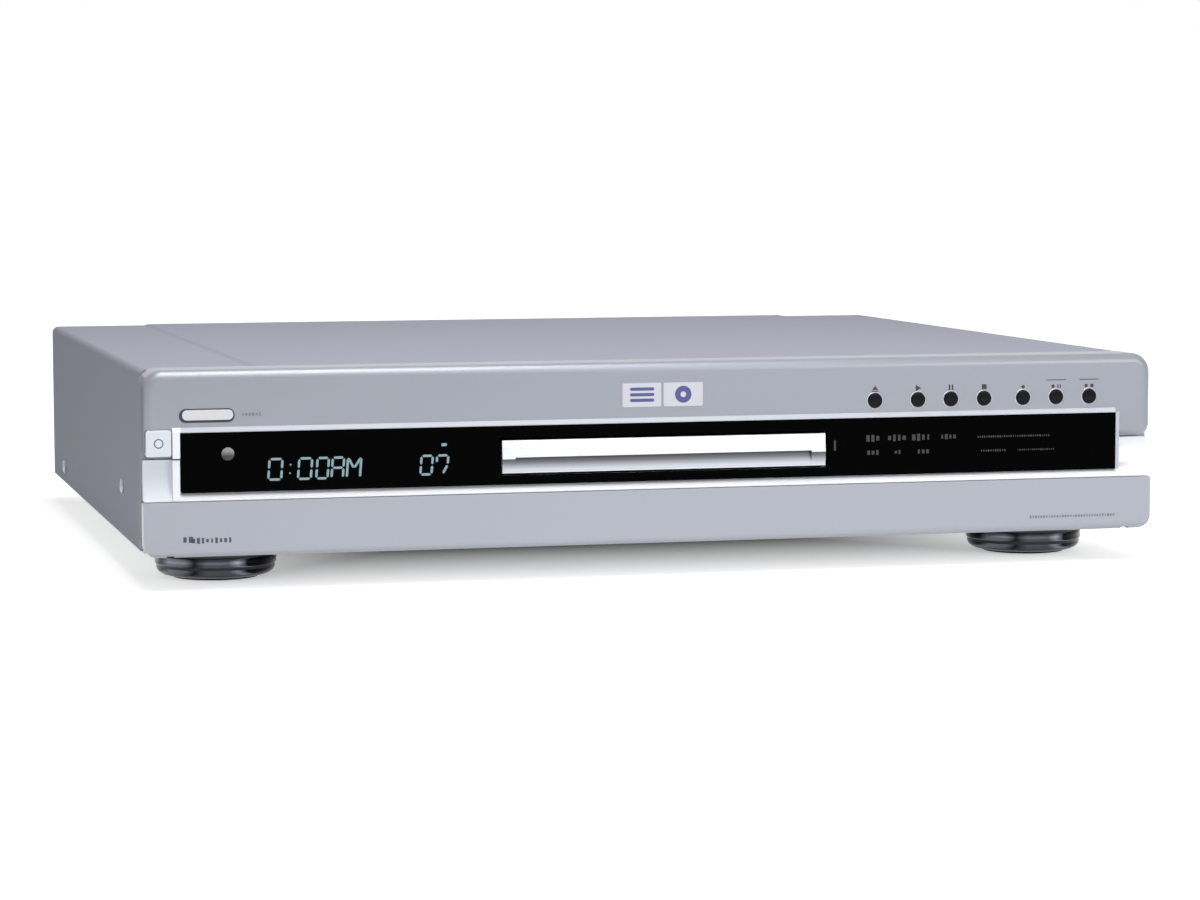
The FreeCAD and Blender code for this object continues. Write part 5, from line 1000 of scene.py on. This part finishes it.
def make_marks():
    """Plain light plates and dark print lines on the silver front."""
    settings = sizes()
    root = body_of("front_panel")
    plates = bmesh.new()
    plate_z = (PANEL_LOW + 56.6 * MM, PANEL_LOW + 66.4 * MM)
    for left, right in ((-18.4, -1.9), (-0.9, 15.9)):
        tile(plates, rounded((left * MM, right * MM), plate_z, 0.7 * MM), FACE - settings.plate_thick, FACE + 0.05 * MM)
    made = round_edges(from_work("front_plates", plates, [printed("light_plate", finishes().plate, 0.3)]), 0.06 * MM)
    settle(made, root)
    marks = bmesh.new()
    y = FACE - settings.plate_thick
    for k in range(3):
        z = PANEL_LOW + (58.7 + 2.3 * k) * MM
        tile(marks, rounded((-15.2 * MM, -4.9 * MM), (z, z + 1.3 * MM), 0.6 * MM), y - settings.print_thick, y + 0.02 * MM)
    disc = [(1.2 * MM, -0.02 * MM), (3.5 * MM, -0.02 * MM), (3.5 * MM, settings.print_thick),
            (1.2 * MM, settings.print_thick), (1.2 * MM, -0.02 * MM)]
    lathe(marks, disc, front_ward(7.5 * MM, PANEL_LOW + 61.5 * MM, y), 36)
    settle(from_work("plate_marks", marks, [printed("violet_ink", finishes().plate_mark)]), root)
    white = bmesh.new()
    tile(white, rounded((-199.2 * MM, -178.8 * MM), (PANEL_LOW + 55.0 * MM, PANEL_LOW + 59.1 * MM), 1.9 * MM), y, FACE + 0.05 * MM)
    pill = round_edges(from_work("pill_plate", white, [printed("white_plate", finishes().pill, 0.3)]), 0.06 * MM)
    settle(pill, root)
    edge = bmesh.new()
    outer = rounded((-200.4 * MM, -178.2 * MM), (PANEL_LOW + 54.0 * MM, PANEL_LOW + 59.6 * MM), 2.6 * MM)
    tile(edge, outer, FACE - 0.4 * settings.plate_thick, FACE + 0.05 * MM)
    ink = printed("dark_ink", finishes().print_dark)
    settle(from_work("pill_edge", edge, [ink]), root)
    strokes = dash_tree()
    flap = body_of("front_flap")
    grey = printed("grey_flap_ink", finishes().print_flap)
    print_row("flap_print_left", strokes, (-199.8, FACE, 7.3), 3.0, 3.4, grey, flap)
    print_row("flap_print_left_line", strokes, (-196.0, FACE, 6.8), 17.0, 2.4, grey, flap)
    pale = printed("pale_ink", finishes().print_pale)
    print_row("panel_print_right_of_plate", strokes, (-175.6, FACE, 57.0), 9.0, 1.6, pale, root)
    print_row("flap_print_right", strokes, (160.0, FACE, 6.3), 39.0, 1.3, pale, flap)


def make_cover():
    """Painted steel cover and the cross-head screws that hold it."""
    skin("top_cover", [cover_paint()], width=sizes().sheet_round)
    head = bmesh.new()
    radius, rise = 3.2 * MM, PANEL_HALF - COVER_HIGH.x
    profile = [(0, -0.6 * MM), (1.4 * MM, -0.6 * MM), (1.4 * MM, 0), (radius, 0), (radius, 0.35 * rise), (0.92 * radius, 0.65 * rise),
               (0.7 * radius, 0.9 * rise), (0.42 * radius, rise), (0, rise)]
    lathe(head, profile, Matrix.Identity(4), 28)
    blank = from_work("screw_blank", head, [])
    slot = bmesh.new()
    for wide, tall in ((2.9 * MM, 0.62 * MM), (0.62 * MM, 2.9 * MM)):
        cutter = bmesh.ops.create_cube(slot, size=1.0)["verts"]
        bmesh.ops.scale(slot, vec=(wide, tall, 1.6 * MM), verts=cutter)
        bmesh.ops.translate(slot, vec=(0, 0, rise + 0.1 * MM), verts=cutter)
    cross = from_work("cross_cutter", slot, [])
    cut = blank.modifiers.new("cross", "BOOLEAN")
    cut.object = cross
    cut.use_self = True
    bpy.context.view_layer.update()
    seen = blank.evaluated_get(bpy.context.evaluated_depsgraph_get())
    pattern = bpy.data.objects.new("screw_pattern", bpy.data.meshes.new_from_object(seen))
    bpy.context.scene.collection.objects.link(pattern)
    bpy.data.objects.remove(blank)
    bpy.data.objects.remove(cross)
    places = []
    for centre, facing in screw_places():
        places.append((centre, facing))
    screws = repeated("cover_screws_cut", pattern, places, screw_plating())
    settle(screws, body_of("cover_screws"), ["cover_screws"])


def screw_places():
    """Seat and direction of each cover screw, from the solids of its CAD node."""
    places = []
    for low, high in solid_boxes("cover_screws"):
        middle = (low + high) / 2
        if high.x - low.x < high.y - low.y:
            side = math.copysign(1, middle.x)
            places.append((Vector((side * COVER_HIGH.x, middle.y, middle.z)), Vector((side, 0, 0))))
        else:
            places.append((Vector((middle.x, COVER_HIGH.y, middle.z)), Vector((0, 1, 0))))
    return places


def foot_middles():
    """Middles of the four feet on the table, from the CAD pads."""
    return [Vector(((low.x + high.x) / 2, (low.y + high.y) / 2, TABLE)) for low, high in solid_boxes("foot_pads")]


def make_feet():
    """Four moulded feet, each with a chrome ring and a thin chrome shell over its rounded lower edge, both with painted
    reflections, and a soft pad.
    """
    places = [(p, Vector((0, 0, 1))) for p in foot_middles()]
    low, high = solid_boxes("feet")[0]
    radius, top = (high.x - low.x) / 2, high.z
    bend = 5.0 * MM
    foot = bmesh.new()
    profile = [(0, low.z), (radius - bend, low.z)]
    for k in range(1, 13):
        turn = math.radians(90 * k / 12)
        profile.append((radius - bend + bend * math.sin(turn), low.z + 0.72 * bend * (1 - math.cos(turn))))
    profile += [(radius, top - 0.5 * MM), (radius - 0.4 * MM, top - 0.02 * MM), (0, top - 0.02 * MM)]
    lathe(foot, profile, Matrix.Identity(4), 72)
    pattern = from_work("foot_pattern", foot, [])
    feet = repeated("foot_mouldings", pattern, places, foot_moulding())
    settle(feet, body_of("feet"), ["feet"])
    # A thin shell over each foot's rounded lower edge carries painted reflections.
    lip = bmesh.new()
    arc = [math.radians(a) for a in range(54, 91, 6)]
    centre = low.z + 0.72 * bend
    shell = [(radius - bend + (bend + 0.03 * MM) * math.sin(a), centre - 0.72 * (bend + 0.03 * MM) * math.cos(a)) for a in arc]
    core = [(radius - bend + 0.9 * bend * math.sin(a), centre - 0.65 * bend * math.cos(a)) for a in reversed(arc)]
    lathe(lip, shell + core + shell[:1], Matrix.Identity(4), 72)
    pattern = from_work("lip_pattern", lip, [])
    settle(repeated("foot_lips", pattern, places, smoked_chrome("smoked_chrome_lip", 0.24)), body_of("feet"))
    low, high = solid_boxes("foot_rings")[0]
    outer = (high.x - low.x) / 2
    inner = outer - 0.68 * MM
    ring = bmesh.new()
    profile = [(inner, low.z), (outer - 0.25 * MM, low.z + 0.25 * MM), (outer, low.z + 0.7 * MM),
               (outer, high.z - 0.7 * MM), (outer - 0.25 * MM, high.z - 0.25 * MM), (inner, high.z), (inner, low.z)]
    lathe(ring, profile, Matrix.Identity(4), 72)
    pattern = from_work("ring_pattern", ring, [])
    rings = repeated("foot_bands", pattern, places, smoked_chrome("smoked_chrome_ring", 0.16))
    settle(rings, body_of("foot_rings"), ["foot_rings"])
    skin("foot_pads", [rubber()], width=0.2 * MM)


def socket_places():
    """Collar middle, direction and ring colour of every phono socket, from the record's mounts."""
    dyes = {"video": "yellow", "left_audio": "white", "right_audio": "red"}
    places = []
    for mount in frame["record"]["mounts"]:
        if mount["kind"] != "pin":
            continue
        facing = Vector(mount["axis"])
        at = Vector(mount["pos_m"]) - facing * mount["dims"]["length_mm"] * MM / 2
        places += [(at, facing, dye) for ending, dye in dyes.items() if mount["name"].endswith(ending)]
    return places


def make_socket_rings():
    """Coloured collar and insulating core of every phono socket."""
    sleeve, collar, length_out = 4.17 * MM, 5.45 * MM, 8.0 * MM
    ring = [(sleeve, -0.5 * MM), (collar, -0.5 * MM), (collar, -0.1 * MM), (collar - 0.15 * MM, 0.06 * MM),
            (sleeve, 0.06 * MM), (sleeve, -0.5 * MM)]
    core = [(1.62 * MM, -0.3 * MM), (3.3 * MM, -0.3 * MM), (3.3 * MM, 0.05 * MM), (1.62 * MM, 0.05 * MM),
            (1.62 * MM, -0.3 * MM)]
    found = socket_places()
    for side, node, way in (("rear", "rear_phono_sockets", 1), ("front", "front_jacks", -1)):
        here = [place for place in found if place[1].y * way > 0]
        for name in ("yellow", "white", "red"):
            work = bmesh.new()
            lathe(work, ring, Matrix.Identity(4), 32)
            dye = printed(name + "_abs", getattr(finishes(), "ring_" + name), 0.4)
            places = [(at, facing) for at, facing, given in here if given == name]
            rings = repeated(f"{side}_{name}_collars", from_work("collar_pattern", work, []), places, dye)
            settle(rings, body_of(node))
        work = bmesh.new()
        lathe(work, core, Matrix.Translation((0, 0, length_out)), 28)
        places = [(at, facing) for at, facing, _ in here]
        cores = repeated(f"{side}_socket_cores", from_work("core_pattern", work, []), places, black_moulding())
        settle(cores, body_of(node))


def make_sockets():
    """Front and rear sockets: nickel sleeves, coloured collars and threads on the aerial sockets."""
    metal, black = nickel(), black_moulding()
    sleeve_from = REAR + 0.65 * MM
    skin("rear_phono_sockets", [black, metal], lambda c, n: int(c.y > sleeve_from))
    skin("s_video_sockets", [black, metal], lambda c, n: int(c.y > REAR + 0.1 * MM))
    skin("aerial_sockets", [metal], width=0.1 * MM)
    skin("ac_inlet", [black, metal], lambda c, n: int(is_pin(c)), width=0.15 * MM)
    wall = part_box("front_jack_panel")[0].y
    skin("front_jacks", [black, metal], lambda c, n: int(c.y < wall - 0.65 * MM))
    skin("front_jack_panel", [black], width=sizes().part_round)
    make_socket_rings()
    threads = thread_tree()
    for k, (low, high) in enumerate(solid_boxes("aerial_sockets")):
        start = ((low.x + high.x) / 2, REAR + 3.0 * MM, (low.z + high.z) / 2)
        make_thread(f"aerial_thread_{k + 1}", threads, "aerial_sockets", start, 4.75 * MM, high.y - REAR - 3.4 * MM, 0.8 * MM, 0.16 * MM)


def is_pin(place):
    """Whether a face of the mains inlet belongs to one of its two pins."""
    low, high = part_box("ac_inlet")
    middle = (low + high) / 2
    sideways = abs(abs(place.x - middle.x) - 4.3 * MM)
    return sideways < 1.25 * MM and abs(place.z - middle.z) < 1.25 * MM and low.y + 1.0 * MM < place.y < REAR - 1.0 * MM


def make_thread(name, tree, node, start, radius, length_out, pitch, wire):
    """Wire of a screw thread along Y round a CAD node's rod."""
    values = {
        "Radius": radius, "Turns": length_out / pitch, "Height": length_out, "Wire": wire, "Start": start,
        "Turn": (-math.pi / 2, 0.0, 0.0), "Finish": nickel(),
    }
    return settle(grown(name, tree, values), body_of(node))


def make_rear():
    """Rear panel and fan."""
    skin("rear_panel", [plated_sheet()], width=sizes().sheet_round)
    skin("fan_frame", [black_moulding()], width=sizes().part_round)
    skin("fan_rotor", [black_moulding()], width=0.1 * MM)


def make_chassis():
    """Chassis and drive brackets of plated sheet."""
    skin("bottom_chassis", [plated_sheet()], width=sizes().sheet_round)
    skin("drive_brackets", [plated_sheet()], width=sizes().sheet_round)
    skin("tuner_module", [plated_sheet()], width=sizes().part_round)


DRIVE_PARTS = {
    "drive_frame": ("moulding_black", black_moulding), "clamp_bridge": ("steel", plated_sheet),
    "clamper": ("gear_white", gear_plastic), "tray_gear": ("gear_white", gear_plastic),
    "pulley_gear": ("gear_white", gear_plastic), "motor_pulley": ("gear_white", gear_plastic),
    "drive_belt": ("rubber", rubber), "loading_motor": ("steel", plated_sheet),
    "traverse_base": ("steel", plated_sheet), "spindle_motor": ("steel", plated_sheet),
    "turntable": ("moulding_grey", grey_moulding), "pickup_sled": ("moulding_grey", grey_moulding),
    "guide_rods": ("steel", nickel), "lead_screw": ("steel", nickel), "sled_motor": ("steel", plated_sheet),
}


def make_drive():
    """Disc drive: frame, gears, belt, motors, sled and clamp."""
    for node, (slot, finish) in DRIVE_PARTS.items():
        skin(node, [finish()])
    low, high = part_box("lead_screw")
    radius = (high.z - low.z) / 2
    start = ((low.x + high.x) / 2, low.y + 2.0 * MM, (low.z + high.z) / 2)
    make_thread("lead_screw_thread", thread_tree(), "lead_screw", start, radius, high.y - low.y - 4.0 * MM, 1.6 * MM, 0.1 * MM)


def make_electronics():
    """Boards and what stands on them, the display tube and the remote sensor."""
    green, epoxy, post = board_laminate(), chip_epoxy(), grey_moulding()
    post_height, board_top = 7.0 * MM, 8.7 * MM
    skin("front_board", [green])
    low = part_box("main_board")[0].z

    def layer(middle, normal):
        height = middle.z - low
        return 2 if height < post_height - 0.1 * MM else int(height > board_top)

    skin("main_board", [green, epoxy, post], layer)
    metal = extruded_aluminium()
    skin("power_supply_board", [green, metal, post], layer)
    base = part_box("power_transformer")[0].z
    cores = ((3.0 * MM, 11.0 * MM), (15.0 * MM, 23.0 * MM))

    def ferrite(middle, normal):
        height = middle.z - base
        return int(any(start - WELD <= height <= end + WELD for start, end in cores))

    skin("power_transformer", [winding(), epoxy], ferrite)
    dress("button_switches", post)
    dress("remote_sensor", epoxy)
    dress("display_tube", clear_glass())
    dress("heat_sink", metal)
    dress("capacitors", sleeve())


def ray_level(tree, plain, shown):
    """Strength that is plain for the light that falls on things and shown for what the eye and gloss see."""
    rays = add(tree, "ShaderNodeLightPath").outputs
    seen = add(tree, "ShaderNodeMath", {0: rays["Is Camera Ray"], 1: rays["Is Glossy Ray"]}, operation="MAXIMUM")
    seen = add(tree, "ShaderNodeMath", {0: seen.outputs[0], 1: rays["Is Transmission Ray"]}, operation="MAXIMUM")
    level = add(tree, "ShaderNodeMapRange", {"Value": seen.outputs[0], "To Min": plain, "To Max": shown})
    return level.outputs["Result"]


def make_room(settings):
    """White room that lights things evenly, a little more from behind and from the right."""
    world = bpy.data.worlds.new("white_room")
    world.use_nodes = True
    tree = world.node_tree
    tree.nodes.clear()
    way = add(tree, "ShaderNodeSeparateXYZ", {"Vector": add(tree, "ShaderNodeTexCoord").outputs["Generated"]})
    behind = add(tree, "ShaderNodeMath", {0: way.outputs["Y"], 1: 0.0}, operation="MAXIMUM")
    side = {0: way.outputs["X"], 1: settings.tilt, 2: settings.room}
    even = add(tree, "ShaderNodeMath", side, operation="MULTIPLY_ADD")
    light = {0: behind.outputs[0], 1: settings.behind, 2: even.outputs[0]}
    light = add(tree, "ShaderNodeMath", light, operation="MULTIPLY_ADD")
    level = ray_level(tree, light.outputs[0], 1.0)
    glow = add(tree, "ShaderNodeBackground", {"Color": (1, 1, 1, 1), "Strength": level})
    add(tree, "ShaderNodeOutputWorld", {"Surface": glow.outputs["Background"]})
    bpy.context.scene.world = world


def make_floor():
    """Large pale table top with a painted shadow: what the eye and gloss see of it glows from nothing deep under the
    set up to full white past its rim.
    """
    mesh = bpy.data.meshes.new("table_top")
    half = 6.0
    mesh.from_pydata([(-half, -half, TABLE), (half, -half, TABLE), (half, half, TABLE), (-half, half, TABLE)], [], [(0, 1, 2, 3)])
    floor = bpy.data.objects.new("table_top", mesh)
    bpy.context.scene.collection.objects.link(floor)
    made, tree, shader = fresh("white_table_paint")
    shader.inputs["Base Color"].default_value = linear("#F4F4F4")
    shader.inputs["Roughness"].default_value = 0.9
    shader.inputs["Specular IOR Level"].default_value = 0.0
    shader.inputs["Emission Color"].default_value = (1, 1, 1, 1)
    place = add(tree, "ShaderNodeTexCoord").outputs["Object"]
    inset = add(tree, "ShaderNodeVectorMath", {0: place}, operation="ABSOLUTE")
    inset = add(tree, "ShaderNodeVectorMath", {0: inset.outputs[0], 1: (PANEL_HALF, -FACE, 0)}, operation="SUBTRACT")
    inset = add(tree, "ShaderNodeSeparateXYZ", {"Vector": inset.outputs[0]}).outputs
    past = add(tree, "ShaderNodeMath", {0: inset["X"], 1: inset["Y"]}, operation="MAXIMUM")
    # Painted shadow: the floor's glow is weakest deep under the set and full white from just past its edges.
    painted_shadow_lift = add(tree, "ShaderNodeMapRange", {"Value": past.outputs[0], "From Min": -0.131, "From Max": 0.051})
    tree.links.new(ray_level(tree, 0.0, painted_shadow_lift.outputs["Result"]), shader.inputs["Emission Strength"])
    mesh.materials.append(made)


def soft_light(name, at, aim, size, power):
    """Square soft light that looks at a point."""
    data = bpy.data.lights.new(name, "AREA")
    data.shape = "RECTANGLE"
    data.size, data.size_y = size
    data.energy = power
    lamp = bpy.data.objects.new(name, data)
    lamp.location = at
    lamp.rotation_euler = (Vector(aim) - Vector(at)).to_track_quat("-Z", "Y").to_euler()
    bpy.context.scene.collection.objects.link(lamp)
    return lamp


CAMERA_AT = Vector((-0.38045, FACE - 1.37016, PANEL_LOW + 0.16155))
CAMERA_TURN, CAMERA_DIP, CAMERA_ROLL = -14.430, -4.940, -0.119  # degrees
SENSOR, LENS = 36.0, 103.99  # millimetres
PHOTO = (1200, 900)


def make_camera():
    """Camera at the photograph's viewing angle."""
    data = bpy.data.cameras.new("camera")
    data.sensor_width = SENSOR
    data.lens = LENS
    data.clip_start, data.clip_end = 0.05, 50.0
    camera = bpy.data.objects.new("camera", data)
    turn = Matrix.Rotation(math.radians(CAMERA_TURN), 4, "Z")
    dip = Matrix.Rotation(math.radians(90 + CAMERA_DIP), 4, "X")
    roll = Matrix.Rotation(math.radians(CAMERA_ROLL), 4, "Z")
    camera.matrix_world = Matrix.Translation(CAMERA_AT) @ turn @ dip @ roll
    bpy.context.scene.collection.objects.link(camera)
    bpy.context.scene.camera = camera


def make_stage():
    """White room, table top, soft lights and the camera."""
    settings = bpy.context.scene.recorder_stage
    make_room(settings)
    make_floor()
    aim = (0.0, -0.1, 0.05)
    soft_light("overhead_light", (-0.05, -0.35, 1.1), aim, (0.5, 0.6), settings.over_power)
    soft_light("upper_front_light", (-0.05, -0.75, 0.9), aim, (0.8, 0.5), settings.near_power)
    soft_light("side_light", (0.9, -1.6, 0.7), aim, (1.0, 0.8), settings.side_power)
    make_camera()
    bpy.context.scene.view_settings.view_transform = "Standard"


class RECORDER_OT_front(bpy.types.Operator):
    """Make the moulded front, the trim round its window and the rings round its buttons"""

    bl_idname = "recorder.front"
    bl_label = "Front panel"

    def execute(self, context):
        make_front()
        return {"FINISHED"}


class RECORDER_OT_flap(bpy.types.Operator):
    """Make the drop-down flap and its pins"""

    bl_idname = "recorder.flap"
    bl_label = "Flap"

    def execute(self, context):
        make_flap()
        return {"FINISHED"}


class RECORDER_OT_sill(bpy.types.Operator):
    """Make the bright sill under the window"""

    bl_idname = "recorder.sill"
    bl_label = "Sill"

    def execute(self, context):
        make_sill()
        return {"FINISHED"}


class RECORDER_OT_window(bpy.types.Operator):
    """Make the window with its lit figures, lens and print"""

    bl_idname = "recorder.window"
    bl_label = "Window and display"

    def execute(self, context):
        make_window()
        return {"FINISHED"}


class RECORDER_OT_tray(bpy.types.Operator):
    """Make the disc tray and its bright front"""

    bl_idname = "recorder.tray"
    bl_label = "Disc tray"

    def execute(self, context):
        make_tray()
        return {"FINISHED"}


class RECORDER_OT_buttons(bpy.types.Operator):
    """Make the round buttons with their symbols, and the power button"""

    bl_idname = "recorder.buttons"
    bl_label = "Buttons"

    def execute(self, context):
        make_buttons()
        return {"FINISHED"}


class RECORDER_OT_marks(bpy.types.Operator):
    """Make the plain plates and print lines on the front"""

    bl_idname = "recorder.marks"
    bl_label = "Plates and print"

    def execute(self, context):
        make_marks()
        return {"FINISHED"}


class RECORDER_OT_cover(bpy.types.Operator):
    """Make the top cover and its screws"""

    bl_idname = "recorder.cover"
    bl_label = "Cover and screws"

    def execute(self, context):
        make_cover()
        return {"FINISHED"}


class RECORDER_OT_feet(bpy.types.Operator):
    """Make the feet with their rings and pads"""

    bl_idname = "recorder.feet"
    bl_label = "Feet"

    def execute(self, context):
        make_feet()
        return {"FINISHED"}


class RECORDER_OT_sockets(bpy.types.Operator):
    """Make the front and rear sockets"""

    bl_idname = "recorder.sockets"
    bl_label = "Sockets"

    def execute(self, context):
        make_sockets()
        return {"FINISHED"}


class RECORDER_OT_rear(bpy.types.Operator):
    """Make the rear panel and the fan"""

    bl_idname = "recorder.rear"
    bl_label = "Rear panel and fan"

    def execute(self, context):
        make_rear()
        return {"FINISHED"}


class RECORDER_OT_chassis(bpy.types.Operator):
    """Make the chassis, the drive's brackets and the tuner's can"""

    bl_idname = "recorder.chassis"
    bl_label = "Chassis"

    def execute(self, context):
        make_chassis()
        return {"FINISHED"}


class RECORDER_OT_drive(bpy.types.Operator):
    """Make the disc drive with its gears, belt, motors and sled"""

    bl_idname = "recorder.drive"
    bl_label = "Disc drive"

    def execute(self, context):
        make_drive()
        return {"FINISHED"}


class RECORDER_OT_electronics(bpy.types.Operator):
    """Finish the boards, switches, display tube and power supply"""

    bl_idname = "recorder.electronics"
    bl_label = "Electronics"

    def execute(self, context):
        make_electronics()
        return {"FINISHED"}


class RECORDER_OT_stage(bpy.types.Operator):
    """Make the room, the table top, the lights and the camera"""

    bl_idname = "recorder.stage"
    bl_label = "Stage"

    def execute(self, context):
        make_stage()
        return {"FINISHED"}


GROUPS = {
    "recorder_finishes": RecorderFinishes,
    "recorder_sizes": RecorderSizes,
    "recorder_stage": RecorderStage,
}
OPERATORS = (
    RECORDER_OT_front, RECORDER_OT_flap, RECORDER_OT_sill, RECORDER_OT_window, RECORDER_OT_tray,
    RECORDER_OT_buttons, RECORDER_OT_marks, RECORDER_OT_cover, RECORDER_OT_feet, RECORDER_OT_sockets,
    RECORDER_OT_rear, RECORDER_OT_chassis, RECORDER_OT_drive, RECORDER_OT_electronics, RECORDER_OT_stage,
)


class RECORDER_PT_panel(bpy.types.Panel):
    """Lists the pieces and the values that shape them"""

    bl_idname = "RECORDER_PT_panel"
    bl_label = "DVD recorder"
    bl_space_type = "VIEW_3D"
    bl_region_type = "UI"
    bl_category = "Recorder"

    def draw(self, context):
        for operator in OPERATORS:
            self.layout.operator(operator.bl_idname)
        for group in GROUPS:
            values = getattr(context.scene, group)
            for key in values.__annotations__:
                self.layout.prop(values, key)


def register():
    """Registers the classes and hangs the values on the scene."""
    for name, group in GROUPS.items():
        bpy.utils.register_class(group)
        setattr(bpy.types.Scene, name, bpy.props.PointerProperty(type=group))
    for kind in (*OPERATORS, RECORDER_PT_panel):
        bpy.utils.register_class(kind)


def unregister():
    """Takes back what register added."""
    for kind in reversed((*OPERATORS, RECORDER_PT_panel)):
        bpy.utils.unregister_class(kind)
    for name, group in GROUPS.items():
        delattr(bpy.types.Scene, name)
        bpy.utils.unregister_class(group)


def main():
    """Makes every piece in order."""
    register()
    for operator in OPERATORS:
        step = operator.bl_idname.split(".")[1]
        getattr(bpy.ops.recorder, step)()


if __name__ == "__main__":
    main()
